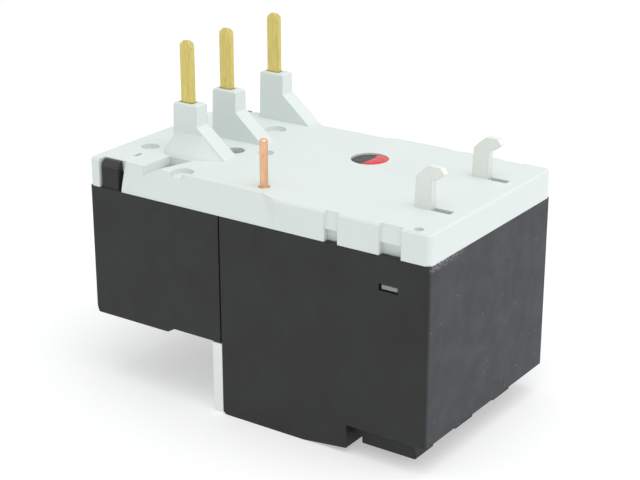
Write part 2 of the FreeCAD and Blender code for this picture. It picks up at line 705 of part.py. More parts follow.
def carrier_saddle():
    """A notched support that the contact carrier slides in."""
    half = CARRIER_WIDTH / 2 + GUIDE_GAP
    block = box(SADDLE_X, SADDLE_X + RIB, CARRIER_Y - half - RIB / 2, CARRIER_Y + half + RIB,
                NOSE_FLOOR_Z, CARRIER_Z + SADDLE_HEIGHT)
    return block.cut(box(SADDLE_X - 1, SADDLE_X + RIB + 1, CARRIER_Y - half, CARRIER_Y + half,
                         CARRIER_Z - GUIDE_GAP, CARRIER_Z + CARRIER_HEIGHT))


def spring_pocket():
    """The moulded pocket behind the buttons that guides their stems."""
    plate = box(GUIDE_SIDE_X, INNER_X, GUIDE_Y, GUIDE_Y + RIB, GUIDE_BOTTOM_Z, GUIDE_TOP_Z)
    side_far = GUIDE_SIDE_X + GUIDE_SIDE_WALL
    side = box(GUIDE_SIDE_X, side_far, FRONT_INNER_Y, GUIDE_Y, GUIDE_BOTTOM_Z, GUIDE_TOP_Z)
    floor = box(GUIDE_SIDE_X, INNER_X, FRONT_INNER_Y, GUIDE_Y, GUIDE_BOTTOM_Z, GUIDE_BOTTOM_Z + RIB)
    pocket = fuse([plate, side, floor])
    return cut(pocket, [rod_y(RESET_X, FASCIA_Z, GUIDE_Y - 1, GUIDE_Y + 3, STEM_R + GUIDE_GAP),
                        rod_y(STOP_X, STOP_Z, GUIDE_Y - 1, GUIDE_Y + 3, STOP_STEM_R + GUIDE_GAP)])


def front_holes():
    """The holes and recesses of the operating front."""
    deep = FRONT_Y + DIAL_SINK + DIAL_THICKNESS + DIAL_GAP
    through = FRONT_INNER_Y + 1
    half_wide, half_high = FASCIA_WIDTH / 2 + FIT_GAP, FASCIA_HEIGHT / 2 + FIT_GAP
    seat = FRONT_Y + FASCIA_THICKNESS + FACE_GAP
    holes = [box(-half_wide, half_wide, FRONT_Y - 1, seat, FASCIA_Z - half_high, FASCIA_Z + half_high),
             rod_y(DIAL_X, FASCIA_Z, FRONT_Y - 1, deep, DIAL_R + DIAL_GAP),
             rod_y(DIAL_X, FASCIA_Z, FRONT_Y - 1, through, DIAL_SHAFT_R + RUNNING_GAP)]
    holes += button_holes(FRONT_Y - 1, through)
    holes += [rod_y(x, AUX_Z, FRONT_Y - 1, through, AUX_HOLE_R) for x in TERMINAL_X]
    return holes


def button_holes(y0, y1):
    """The clearances for both buttons and the flag window."""
    flag_z = FASCIA_Z + FLAG_RISE
    return [rod_y(RESET_X, FASCIA_Z, y0, y1, RESET_R + BUTTON_HOLE_GAP),
            rod_y(STOP_X, STOP_Z, y0, y1, STOP_R + BUTTON_HOLE_GAP),
            box(STOP_X - FLAG_WIDTH / 2, STOP_X + FLAG_WIDTH / 2, y0, y1,
                flag_z - FLAG_HEIGHT / 2, flag_z + FLAG_HEIGHT / 2)]


def front_housing():
    """The black front shell with the auxiliary terminal cells in its nose."""
    shell = side_prism(nose_outline(), -HALF, HALF)
    shell = shell.makeFillet(HOUSING_CORNER_R, upright_edges(shell, [(-HALF, FRONT_Y), (HALF, FRONT_Y)]))
    step_y = FRONT_Y + NOSE_LENGTH
    shell = cut(shell, [box(-INNER_X, INNER_X, FRONT_INNER_Y, step_y, NOSE_FLOOR_Z, SKIRT_Z),
                        box(-INNER_X, INNER_X, step_y, NOSE_BACK_Y, NOSE_FLOOR_Z + NOSE_STEP, SKIRT_Z)])
    walls = [box(x - RIB / 2, x + RIB / 2, FRONT_INNER_Y, AUX_RIB_Y, NOSE_FLOOR_Z, AUX_RIB_TOP_Z)
             for x in (-TERMINAL_PITCH, 0, TERMINAL_PITCH)]
    back_rib = box(-INNER_X, INNER_X, AUX_RIB_Y, AUX_RIB_Y + RIB, NOSE_FLOOR_Z, AUX_RIB_TOP_Z)
    grown = fuse([shell, back_rib, spring_pocket()] + walls + mirrored([carrier_saddle(), corner_post()]))
    entry_y = AUX_CLAMP_Y + AUX_CLAMP_THICKNESS
    entries = [box(x - AUX_ENTRY_WIDTH / 2, x + AUX_ENTRY_WIDTH / 2, entry_y, entry_y + AUX_WIRE_SPACE,
                   NOSE_BOTTOM_Z - 1, NOSE_FLOOR_Z) for x in TERMINAL_X]
    return cut(grown, front_holes() + entries)


def front_fascia():
    """The light-grey insert around the dial, the buttons and the flag window."""
    low, high = FASCIA_Z - FASCIA_HEIGHT / 2, FASCIA_Z + FASCIA_HEIGHT / 2
    half = FASCIA_WIDTH / 2
    insert = box(-half, half, FRONT_Y, FRONT_Y + FASCIA_THICKNESS, low, high)
    corners = [e for e in insert.Edges if abs(e.Vertexes[0].Y - e.Vertexes[1].Y) > 0.1]
    insert = insert.makeFillet(FASCIA_CORNER_R, corners)
    well = rod_y(DIAL_X, FASCIA_Z, FRONT_Y - 1, FRONT_INNER_Y, DIAL_R + DIAL_GAP)
    return cut(insert, [well] + button_holes(FRONT_Y - 1, FRONT_INNER_Y))


# ======== rear housing and terminal cover ========

def rear_outline():
    """The side outline of the rear housing, with its stepped underside."""
    return [(REAR_FRONT_Y, SKIRT_Z), (REAR_FRONT_Y, 0), (BELLY_END_Y, 0), (LIFT_Y, BELLY_RISE),
            (LIFT_Y, LIFT_Z), (BACK_Y, LIFT_Z), (BACK_Y, SKIRT_Z)]


def keel_and_feet():
    """The keel under the rear step and the three feet on it."""
    half = HALF - KEEL_INSET
    back = BACK_Y - KEEL_BACK_INSET
    keel = box(-half, half, LIFT_Y, back, KEEL_Z, LIFT_Z)
    feet = [centred(FOOT_FIRST_X - FOOT_PITCH * k, back - FOOT_DEPTH / 2, FOOT_WIDTH, FOOT_DEPTH,
                    KEEL_Z - FOOT_DROP, KEEL_Z) for k in range(3)]
    return [keel] + feet


def rear_shell():
    """The tall rear shell, open on top, with its keel and feet."""
    outer = side_prism(rear_outline(), -HALF, HALF)
    outer = outer.makeFillet(HOUSING_CORNER_R, upright_edges(outer, [(-HALF, BACK_Y), (HALF, BACK_Y)]))
    toe = [e for e in outer.Edges if all(v.Z < 0.01 and v.Y < REAR_FRONT_Y + 0.01 for v in e.Vertexes)]
    outer = outer.makeFillet(REAR_TOE_R, toe)
    front, back = REAR_FRONT_Y + HOUSING_WALL, BACK_Y - HOUSING_WALL
    step = LIFT_Y - HOUSING_WALL
    hollows = [box(-INNER_X, INNER_X, front, step, HOUSING_FLOOR + BELLY_RISE, SKIRT_Z),
               box(-INNER_X, INNER_X, front, BELLY_END_Y, HOUSING_FLOOR, SKIRT_Z),
               box(-INNER_X, INNER_X, step, back, LIFT_Z + HOUSING_WALL, SKIRT_Z)]
    return cut(fuse([outer] + keel_and_feet()), hollows)


def slide_comb():
    """A bracket on the back wall that both slides run in."""
    front = SLIDE_Y + COMB_FRONT
    low, high = SLIDE_Z - SLIDE_SPACING, SLIDE_Z + SLIDE_THICKNESS
    block = box(COMB_X, COMB_X + RIB, front - COMB_LIP, BACK_Y - HOUSING_WALL, low - RIB, high + RIB)
    reach = SLIDE_Y + SLIDE_BAR / 2 + GUIDE_GAP
    slots = [box(COMB_X - 1, COMB_X + RIB + 1, front - 2 * COMB_LIP, reach, z - GUIDE_GAP,
                 z + SLIDE_THICKNESS + GUIDE_GAP) for z in (SLIDE_Z, SLIDE_Z - SLIDE_SPACING)]
    return cut(block, slots)


def rear_inner_walls():
    """Cell walls, strip posts, the lever post and the slide brackets."""
    front = REAR_FRONT_Y + HOUSING_WALL
    cell_top = BIMETAL_FOOT_Z - LEAD_THICKNESS - FACE_GAP
    walls = [box(x - CELL_WALL / 2, x + CELL_WALL / 2, front, CELL_BACK_Y, HOUSING_FLOOR, cell_top)
             for x in (-TERMINAL_PITCH, 0, TERMINAL_PITCH)]
    walls.append(box(-INNER_X, INNER_X, CELL_BACK_Y, CELL_BACK_Y + CELL_WALL, HOUSING_FLOOR, cell_top))
    deck = HOUSING_FLOOR + BELLY_RISE
    walls += [centred(x, BIMETAL_Y - HOUSING_WALL, BIMETAL_WIDTH, BIMETAL_WIDTH, deck, cell_top)
              for x in POLE_X]
    walls.append(rod(CALIBRATION_X, CALIBRATION_Y, HOUSING_FLOOR, LEVER_Z - GUIDE_GAP, LEVER_POST_R))
    return walls + mirrored([slide_comb()])


def rear_housing():
    """The black rear shell that holds the thermal system and the main terminals."""
    grown = fuse([rear_shell()] + rear_inner_walls())
    through = REAR_FRONT_Y + HOUSING_WALL + 1
    holes = [rod_y(x, TERMINAL_Z, REAR_FRONT_Y - 1, through, ACCESS_HOLE_R) for x in TERMINAL_X]
    entry_y = CLAMP_Y + CLAMP_THICKNESS
    holes += [box(x - ENTRY_WIDTH / 2, x + ENTRY_WIDTH / 2, entry_y, entry_y + WIRE_SPACE, -1, HOUSING_FLOOR)
              for x in TERMINAL_X]
    passage = INNER_X - HOUSING_WALL
    holes.append(box(-passage, passage, REAR_FRONT_Y - 1, through, CARRIER_Z, SKIRT_Z))
    window_z = SLIDE_Z + SLIDE_THICKNESS / 2
    holes.append(box(INNER_X - 1, HALF + 1, SLIDE_Y - WINDOW_LENGTH / 2, SLIDE_Y + WINDOW_LENGTH / 2,
                     window_z - WINDOW_HEIGHT / 2, window_z + WINDOW_HEIGHT / 2))
    holes.append(rod(CALIBRATION_X, CALIBRATION_Y, LEVER_PIN_Z, LEVER_Z, LEVER_PIN_R + RUNNING_GAP))
    return cut(grown, holes)


def terminal_cover():
    """The light-grey cover with the driver holes of the main terminals."""
    back = REAR_FRONT_Y
    cover = box(-HALF, HALF, back - COVER_THICKNESS, back, COVER_BOTTOM_Z, COVER_TOP_Z)
    low_front = [e for e in cover.Edges if all(v.Z < COVER_BOTTOM_Z + 0.01 and v.Y < back - 0.01
                                               for v in e.Vertexes)]
    cover = cover.makeFillet(COVER_CORNER_R, low_front)
    holes = [rod_y(x, TERMINAL_Z, back - COVER_THICKNESS - 1, back + 1, COVER_HOLE_R) for x in TERMINAL_X]
    return cut(cover, holes)


# ======== main current path ========

def contact_blade(x):
    """A brass blade with a bevelled tip."""
    half_x, half_y = BLADE_THICKNESS / 2, BLADE_WIDTH / 2
    blade = centred(x, BLADE_Y, BLADE_THICKNESS, BLADE_WIDTH, LEAD_Z, BLADE_TIP_Z)
    corners = [(x + sx * half_x, BLADE_Y + sy * half_y) for sx in (-1, 1) for sy in (-1, 1)]
    blade = blade.makeChamfer(BLADE_EDGE_CUT, upright_edges(blade, corners))
    side = [(half_y, LEAD_Z), (half_y, BLADE_TIP_Z - BLADE_SHOULDER),
            (half_y - BLADE_TIP_CUT * 0.35, BLADE_TIP_Z - BLADE_SHOULDER * 0.45),
            (half_y - BLADE_TIP_CUT, BLADE_TIP_Z)]
    side += [(-y, z) for y, z in side[::-1]]
    face = [(half_x, LEAD_Z), (half_x, BLADE_TIP_Z - BLADE_FACE_FALL), (half_x - BLADE_FACE_CUT, BLADE_TIP_Z)]
    face += [(-dx, z) for dx, z in face[::-1]]
    blade = blade.common(side_prism([(BLADE_Y + y, z) for y, z in side], x - half_x, x + half_x))
    return blade.common(front_prism([(x + dx, z) for dx, z in face], BLADE_Y - half_y, BLADE_Y + half_y))


def blade_lead(tower_x, pole_x):
    """The copper strip from a blade back to its heater."""
    start = tower_x + BLADE_THICKNESS / 2
    bend_y = BLADE_Y + RAMP_LENGTH
    route = [(start, BLADE_Y), (start + LEAD_RUN, BLADE_Y), (pole_x, bend_y),
             (pole_x, DROP_Y + LEAD_THICKNESS)]
    strip = ribbon(route, LEAD_WIDTH, LEAD_Z, LEAD_Z + LEAD_THICKNESS)
    drop = box(pole_x - LEAD_WIDTH / 2, pole_x + LEAD_WIDTH / 2, DROP_Y, DROP_Y + LEAD_THICKNESS,
               LEAD_DROP_Z, LEAD_Z)
    return fuse([strip, drop])


def bimetal(x):
    """A bimetal strip that stands on its terminal strip and bends sideways when hot."""
    strip = centred(x, BIMETAL_Y, BIMETAL_THICKNESS, BIMETAL_WIDTH, BIMETAL_FOOT_Z, BIMETAL_TIP_Z)
    tips = [e for e in strip.Edges if all(v.Z > BIMETAL_TIP_Z - 0.01 for v in e.Vertexes)
            and abs(e.Vertexes[0].Y - e.Vertexes[1].Y) < 0.01]
    return strip.makeChamfer(BIMETAL_THICKNESS, tips)


def heater_sleeve(x):
    """The insulating sleeve between a bimetal and its winding."""
    outer = centred(x, BIMETAL_Y, 2 * SLEEVE_X, 2 * SLEEVE_Y, SLEEVE_BOTTOM_Z, SLEEVE_TOP_Z)
    bore_x, bore_y = SLEEVE_X - SLEEVE_WALL, SLEEVE_Y - SLEEVE_WALL
    return outer.cut(centred(x, BIMETAL_Y, 2 * bore_x, 2 * bore_y, SLEEVE_BOTTOM_Z - 1, SLEEVE_TOP_Z + 1))


def heater_winding(x):
    """The flat heating strip, wound in square turns round its sleeve."""
    inner_x, inner_y = SLEEVE_X + GUIDE_GAP, SLEEVE_Y + GUIDE_GAP
    start_z = SLEEVE_BOTTOM_Z + FIT_GAP
    corners = [(-1, -1), (1, -1), (1, 1), (-1, 1)]
    sections = []
    for k in range(4 * HEATER_TURNS + 1):
        side_x, side_y = corners[k % 4]
        low = start_z + HEATER_PITCH * k / 4
        near = (x + side_x * inner_x, BIMETAL_Y + side_y * inner_y)
        far = (near[0] + side_x * HEATER_THICKNESS, near[1] + side_y * HEATER_THICKNESS)
        high = low + HEATER_STRIP
        sections.append([V(*near, low), V(*far, low), V(*far, high), V(*near, high)])
    return faceted_solid(sections)


def terminal_plate(x):
    """An upright terminal plate behind its screw and clamping plate."""
    return box(x - STRIP_WIDTH / 2, x + STRIP_WIDTH / 2, STRIP_Y, STRIP_Y + STRIP_THICKNESS,
               STRIP_BOTTOM_Z, BIMETAL_FOOT_Z)


def terminal_screw_hole(x):
    """The hole of a main screw through its terminal plate."""
    return rod_y(x, TERMINAL_Z, STRIP_Y - 1, STRIP_Y + STRIP_THICKNESS + 1, SCREW_R + FACE_GAP)


def main_terminal(terminal_x, pole_x):
    """A brass terminal plate whose strip runs back under its bimetal."""
    start_x = terminal_x + (STRIP_WIDTH - POLE_STRIP_WIDTH) / 2
    route = [(start_x, STRIP_Y), (start_x, CELL_BACK_Y), (pole_x, BIMETAL_Y - POLE_STRIP_BEND),
             (pole_x, BIMETAL_Y + BIMETAL_WIDTH / 2)]
    strip = ribbon(route, POLE_STRIP_WIDTH, BIMETAL_FOOT_Z - LEAD_THICKNESS, BIMETAL_FOOT_Z)
    return cut(fuse([terminal_plate(terminal_x), strip]), [terminal_screw_hole(terminal_x)])


def coil_terminal():
    """The coil terminal plate, with an ear that holds the link wire."""
    x = TERMINAL_X[-1]
    reach = WIRE_ROOT_R + EAR_WALL
    ear = box(WIRE_X - reach, WIRE_X + reach, WIRE_Y - reach, STRIP_Y + STRIP_THICKNESS,
              BIMETAL_FOOT_Z - EAR_THICKNESS, BIMETAL_FOOT_Z)
    hole = rod(WIRE_X, WIRE_Y, 0, PLATE_TOP_Z, WIRE_ROOT_R + FACE_GAP)
    return cut(fuse([terminal_plate(x), ear]), [hole, terminal_screw_hole(x)])


def coil_link_wire():
    """The copper wire that reaches up into the contactor's coil terminal."""
    wire = rod(WIRE_X, WIRE_Y, PLATE_TOP_Z, WIRE_TOP_Z, WIRE_R)
    tip = [e for e in wire.Edges if len(e.Vertexes) == 1 and e.Vertexes[0].Z > WIRE_TOP_Z - 0.01]
    root = rod(WIRE_X, WIRE_Y, BIMETAL_FOOT_Z - EAR_THICKNESS - WIRE_R, PLATE_TOP_Z, WIRE_ROOT_R)
    return fuse([wire.makeChamfer(WIRE_END_CUT, tip), root])


def clamp_plate(x, z, y, size, thickness, hole_r):
    """A square clamping plate with its corners cut off."""
    plate = centred(x, y + thickness / 2, size, thickness, z - size / 2, z + size / 2)
    corners = [e for e in plate.Edges if abs(e.Vertexes[0].Y - e.Vertexes[1].Y) > thickness / 2]
    plate = plate.makeChamfer(CLAMP_CORNER, corners)
    return plate.cut(rod_y(x, z, y - 1, y + thickness + 1, hole_r))


def main_screws():
    """The four main terminal screws."""
    length = STRIP_Y + STRIP_THICKNESS - HEAD_Y
    return [slotted_screw(x, TERMINAL_Z, HEAD_Y, SCREW_HEAD_HEIGHT, length, SCREW_HEAD_R, SCREW_R)
            for x in TERMINAL_X]


def main_clamps():
    """The four main clamping plates."""
    return [clamp_plate(x, TERMINAL_Z, CLAMP_Y, CLAMP_SIZE, CLAMP_THICKNESS, SCREW_R + FIT_GAP)
            for x in TERMINAL_X]


# ======== auxiliary terminals and contacts ========

def aux_screws():
    """The four auxiliary terminal screws."""
    length = RAIL_Y + RAIL_THICKNESS - AUX_HEAD_Y
    return [slotted_screw(x, AUX_Z, AUX_HEAD_Y, AUX_HEAD_HEIGHT, length, AUX_HEAD_R, AUX_SCREW_R)
            for x in TERMINAL_X]


def aux_clamps():
    """The four auxiliary clamping plates."""
    return [clamp_plate(x, AUX_Z, AUX_CLAMP_Y, AUX_CLAMP_SIZE, AUX_CLAMP_THICKNESS, AUX_SCREW_R + FIT_GAP)
            for x in TERMINAL_X]


def rail_plate(x):
    """The upright plate of a rail behind its screw and clamping plate."""
    return box(x - RAIL_WIDTH / 2, x + RAIL_WIDTH / 2, RAIL_Y, RAIL_Y + RAIL_THICKNESS,
               RAIL_BOTTOM_Z, RAIL_UNDER_Z + RAIL_UNDER_HEIGHT)


def rail_tab(x, y):
    """The upright tab that carries a fixed contact."""
    return box(x, x + RAIL_THICKNESS, y, y + RAIL_TAB, RAIL_UNDER_Z, RAIL_TAB_TOP_Z)


def rail_screw_hole(x):
    """The hole of an auxiliary screw through its rail."""
    return rod_y(x, AUX_Z, RAIL_Y - 1, RAIL_Y + RAIL_THICKNESS + 1, AUX_SCREW_R + FACE_GAP)


def fixed_contact(y):
    """A fixed contact rivet on the inner face of a right-hand rail tab."""
    return rod_x(y, BRIDGE_Z, BRIDGE_STATION - CONTACT_THICKNESS, BRIDGE_STATION, CONTACT_R)


def outer_rail():
    """The right-hand outer rail, from its terminal to the front contact."""
    x = TERMINAL_X[-1]
    neck = box(BRIDGE_STATION, x, RAIL_Y, RAIL_Y + RAIL_THICKNESS, RAIL_UNDER_Z,
               RAIL_UNDER_Z + RAIL_UNDER_HEIGHT)
    contact = fixed_contact(CARRIER_Y - BRIDGE_SPAN / 2)
    return cut(fuse([rail_plate(x), neck, rail_tab(BRIDGE_STATION, RAIL_Y), contact]), [rail_screw_hole(x)])


def inner_rail():
    """The right-hand inner rail, which passes under the carrier to the rear contact."""
    x = TERMINAL_X[2]
    turn_x = x + (RAIL_WIDTH - RAIL_THICKNESS) / 2
    tab_x = BRIDGE_STATION + RAIL_THICKNESS / 2
    contact_y = CARRIER_Y + BRIDGE_SPAN / 2
    far_y = contact_y + (RAIL_TAB - RAIL_THICKNESS) / 2
    under = ribbon([(turn_x, RAIL_Y), (turn_x, far_y), (tab_x, far_y), (tab_x, contact_y)],
                   RAIL_THICKNESS, RAIL_UNDER_Z, RAIL_UNDER_Z + RAIL_UNDER_HEIGHT)
    tab = rail_tab(BRIDGE_STATION, contact_y - RAIL_TAB / 2)
    return cut(fuse([rail_plate(x), under, tab, fixed_contact(contact_y)]), [rail_screw_hole(x)])


def bridge_x(side):
    """The outer face of a bridge, closed at rest on the left and open on the right."""
    closed = BRIDGE_STATION - 2 * CONTACT_THICKNESS - CONTACT_GAP
    return -closed if side < 0 else closed - TRIP_TRAVEL


def bridge(side):
    """A contact bridge with a rivet at each end, facing outwards."""
    face = bridge_x(side)
    inner = face - side * BRIDGE_THICKNESS
    plate = centred((face + inner) / 2, CARRIER_Y, BRIDGE_THICKNESS, BRIDGE_LENGTH,
                    BRIDGE_Z - BRIDGE_HEIGHT / 2, BRIDGE_Z + BRIDGE_HEIGHT / 2)
    tip = face + side * CONTACT_THICKNESS
    rivets = [rod_x(CARRIER_Y + k * BRIDGE_SPAN / 2, BRIDGE_Z, min(face, tip), max(face, tip), CONTACT_R)
              for k in (-1, 1)]
    return fuse([plate] + rivets)


def bridge_springs():
    """The two springs that press the bridges outwards in the carrier."""
    springs = []
    for side in (-1, 1):
        start = bridge_x(side) - side * (BRIDGE_THICKNESS + BRIDGE_SPRING)
        springs.append(coil(V(start, CARRIER_Y, BRIDGE_Z), V(side, 0, 0), BRIDGE_SPRING,
                            BRIDGE_HEIGHT / 2 - BRIDGE_WIRE, BRIDGE_WIRE, SPRING_TURNS))
    return springs


def contact_carrier():
    """The sliding bar that carries both contact bridges, with the finger that the lever pushes."""
    half = CARRIER_WIDTH / 2
    bar = box(-CARRIER_LENGTH / 2, CARRIER_LENGTH / 2, CARRIER_Y - half, CARRIER_Y + half, CARRIER_Z,
              CARRIER_Z + CARRIER_HEIGHT)
    windows = []
    for side in (-1, 1):
        face = bridge_x(side) + side * FACE_GAP
        inner = bridge_x(side) - side * (BRIDGE_THICKNESS + BRIDGE_SPRING + FACE_GAP)
        windows.append(box(min(face, inner), max(face, inner), CARRIER_Y - half - 1, CARRIER_Y + half + 1,
                           BRIDGE_Z - BRIDGE_HEIGHT / 2 - FACE_GAP, BRIDGE_Z + BRIDGE_HEIGHT / 2 + FACE_GAP))
    finger_x = CALIBRATION_X + LEVER_WIDTH / 2 + 2 * PUSH_GAP
    finger_end = CALIBRATION_Y - LEVER_REACH + TAB_LENGTH / 2
    finger = box(finger_x, finger_x + FINGER_WIDTH, CARRIER_Y + half, finger_end,
                 CARRIER_Z + FINGER_WIDTH, CARRIER_Z + CARRIER_HEIGHT)
    return fuse([cut(bar, windows), finger])


def carrier_spring():
    """The spring that throws the carrier over when it trips."""
    start = -INNER_X
    return coil(V(start, CARRIER_Y, BRIDGE_Z), V(1, 0, 0), INNER_X - CARRIER_LENGTH / 2,
                BRIDGE_HEIGHT / 2, CARRIER_WIRE, SPRING_TURNS)


def trip_flag():
    """The indicator that moves behind the flag window with the carrier."""
    arm_x = CARRIER_LENGTH / 2 - RIB
    flag_z = FASCIA_Z + FLAG_RISE
    low, high = flag_z - FLAG_HEIGHT / 2 - FLAG_LAP, flag_z + FLAG_HEIGHT / 2 + FLAG_LAP
    front = FRONT_INNER_Y + FIT_GAP
    stop_y = CARRIER_Y + CARRIER_WIDTH / 4
    riser = box(arm_x, arm_x + RIB, stop_y - CARRIER_WIDTH / 2, stop_y, CARRIER_Z + CARRIER_HEIGHT, high)
    arm = box(arm_x, arm_x + RIB, front, stop_y, flag_z - RIB / 2, flag_z + RIB / 2)
    left = min(arm_x, STOP_X - FLAG_WIDTH / 2 - TRIP_TRAVEL - FLAG_LAP)
    right = max(arm_x + RIB, STOP_X + FLAG_WIDTH / 2 + FLAG_LAP)
    plate = box(left, right, front, front + FLAG_THICKNESS, low, high)
    return fuse([riser, arm, plate])


# ======== slides, trip lever and setting lever ========

def slide_bar(z):
    """The bar of a slide, as long as the housing allows."""
    left = -INNER_X + TRIP_TRAVEL + SLIDE_STROKE_GAP
    return box(left, INNER_X - SLIDE_END_GAP, SLIDE_Y - SLIDE_BAR / 2, SLIDE_Y + SLIDE_BAR / 2,
               z, z + SLIDE_THICKNESS)


def finger(x0, z):
    """A finger of a slide that reaches forward beside a bimetal."""
    back = SLIDE_Y - SLIDE_BAR / 2
    return box(x0, x0 + FINGER_WIDTH, back - FINGER_LENGTH, back, z, z + SLIDE_THICKNESS)


def trip_slide():
    """The upper slide, pushed by every bimetal, with the tab that turns the trip lever."""
    side = BIMETAL_THICKNESS / 2 + FINGER_GAP
    fingers = [finger(x - side - FINGER_WIDTH, SLIDE_Z) for x in POLE_X]
    tab_x = CALIBRATION_X + LEVER_WIDTH / 2 + PUSH_GAP
    tab_far = tab_x + FINGER_WIDTH
    arm = box(tab_x, tab_far, SLIDE_TAB_Y, SLIDE_Y - SLIDE_BAR / 2, SLIDE_Z, SLIDE_Z + SLIDE_THICKNESS)
    tab = box(tab_x, tab_far, SLIDE_TAB_Y, SLIDE_TAB_Y + TAB_LENGTH, LEVER_Z + GUIDE_GAP, SLIDE_Z)
    return fuse([slide_bar(SLIDE_Z), arm, tab] + fingers)


def differential_slide():
    """The lower slide, which follows the coldest bimetal."""
    z = SLIDE_Z - SLIDE_SPACING
    side = BIMETAL_THICKNESS / 2 + FINGER_GAP + TRIP_TRAVEL
    return fuse([slide_bar(z)] + [finger(x + side, z) for x in POLE_X])


def trip_lever():
    """The two-armed lever between the slides and the contact carrier."""
    x, y = CALIBRATION_X, CALIBRATION_Y
    half = LEVER_WIDTH / 2
    reach = LEVER_REACH + LEVER_LAP
    top = LEVER_Z + LEVER_THICKNESS
    hub = rod(x, y, LEVER_Z, top, LEVER_HUB_R)
    arms = box(x - half, x + half, y - reach, y + reach, LEVER_Z, top)
    gusset = plan_prism([(x - LEVER_GUSSET, y), (x, y - LEVER_GUSSET_REACH), (x + LEVER_GUSSET, y),
                         (x, y + LEVER_GUSSET_REACH)], LEVER_Z, top)
    return cut(fuse([hub, arms, gusset]), [rod(x, y, LEVER_Z - 1, top + 1, LEVER_PIN_R + RUNNING_GAP)])


def lever_pin():
    """The fixed pin that the trip lever turns on."""
    top = LEVER_Z + LEVER_THICKNESS + LEVER_PIN_STANDS
    return rod(CALIBRATION_X, CALIBRATION_Y, LEVER_PIN_Z + FACE_GAP, top, LEVER_PIN_R)


def setting_lever():
    """The lever that follows the setting cam."""
    x, y = SETTING_X, SETTING_Y
    top = SETTING_Z + SETTING_THICKNESS
    nose_y = CAM_Y + NOSE_IN_CAM
    hub = rod(x, y, SETTING_Z, top, SETTING_HUB_R)
    nose = rod(NOSE_X, nose_y, SETTING_Z, top, SETTING_NOSE_R)
    arm = ribbon([(x, y), (NOSE_X, nose_y)], SETTING_ARM, SETTING_Z, top)
    clip_end = y + SETTING_HUB_R + CLIP_LENGTH
    clip = box(x - CLIP_HALF, x + CLIP_HALF, y, clip_end, SETTING_Z, top)
    slit_width = COMPENSATION_THICKNESS + 2 * FACE_GAP
    slit = centred(x, clip_end, slit_width, 2 * CLIP_LENGTH, SETTING_Z - 1, top + 1)
    bore = rod(x, y, SETTING_Z - 1, top + 1, SETTING_PIN_R + RUNNING_GAP)
    return cut(fuse([hub, nose, arm, clip]), [slit, bore])


def compensation_strip():
    """The second bimetal strip, which cancels the effect of room temperature."""
    start = SETTING_Y + SETTING_HUB_R + FACE_GAP
    half = COMPENSATION_THICKNESS / 2
    return box(SETTING_X - half, SETTING_X + half, start, start + COMPENSATION_LENGTH,
               SETTING_Z + GUIDE_GAP, SETTING_Z + COMPENSATION_HEIGHT)


def setting_pin():
    """The pin in the plate's boss that the setting lever turns on."""
    return rod(SETTING_X, SETTING_Y, SETTING_Z - FIT_GAP, SETTING_PIN_TOP_Z, SETTING_PIN_R)


# ======== dial and buttons ========

def current_dial():
    """The dial with its screwdriver slot, pointer notch and shaft."""
    front = FRONT_Y + DIAL_SINK
    disc = rod_y(DIAL_X, FASCIA_Z, front, front + DIAL_THICKNESS, DIAL_R)
    shaft = rod_y(DIAL_X, FASCIA_Z, front + DIAL_THICKNESS, CAM_Y + CAM_THICKNESS, DIAL_SHAFT_R)
    flat = box(DIAL_X - DIAL_SHAFT_R, DIAL_X + DIAL_SHAFT_R, CAM_Y - FACE_GAP, CAM_Y + CAM_THICKNESS + 1,
               FASCIA_Z + SHAFT_FLAT, FASCIA_Z + DIAL_SHAFT_R + 1)
    slot = centred(DIAL_X, front, DIAL_SLOT, 2 * DIAL_SLOT_DEPTH, FASCIA_Z - DIAL_SLOT_LENGTH / 2,
                   FASCIA_Z + DIAL_SLOT_LENGTH / 2)
    rim_z = FASCIA_Z + DIAL_R + DIAL_GAP
    half = POINTER_WIDTH / 2
    notch = front_prism([(DIAL_X - half, rim_z), (DIAL_X, rim_z - POINTER_LENGTH), (DIAL_X + half, rim_z)],
                        front - 1, front + DIAL_SLOT_DEPTH / 2)
    return cut(fuse([disc, shaft]), [flat, slot, notch])


def cam_outline():
    """The cam's spiral, which rises evenly over the dial's whole turn, and its straight return."""
    travel = math.radians(DIAL_TRAVEL)
    points = []
    for k in range(2 * CAM_ARCS + 1):
        angle = travel * (k / CAM_ARCS - 1)
        r = CAM_R + CAM_RISE * angle / travel
        points.append(V(DIAL_X + r * math.cos(angle), CAM_Y, FASCIA_Z + r * math.sin(angle)))
    arcs = [Part.Arc(*points[k:k + 3]).toShape() for k in range(0, 2 * CAM_ARCS, 2)]
    return Part.Wire(arcs + [Part.makeLine(points[-1], points[0])])


def setting_cam():
    """The spiral cam on the dial's shaft, keyed by a flat."""
    cam = Part.Face(cam_outline()).extrude(V(0, CAM_THICKNESS, 0))
    hole = rod_y(DIAL_X, FASCIA_Z, CAM_Y - 1, CAM_Y + CAM_THICKNESS + 1, DIAL_SHAFT_R + RUNNING_GAP)
    key = box(DIAL_X - DIAL_SHAFT_R, DIAL_X + DIAL_SHAFT_R, CAM_Y - 2, CAM_Y + CAM_THICKNESS + 2,
              FASCIA_Z + SHAFT_FLAT + FACE_GAP, FASCIA_Z + DIAL_SHAFT_R + 1)
    return cam.cut(hole.cut(key))


def collar_y():
    """The front face of the button collars, just behind the front wall."""
    return FRONT_INNER_Y + FIT_GAP


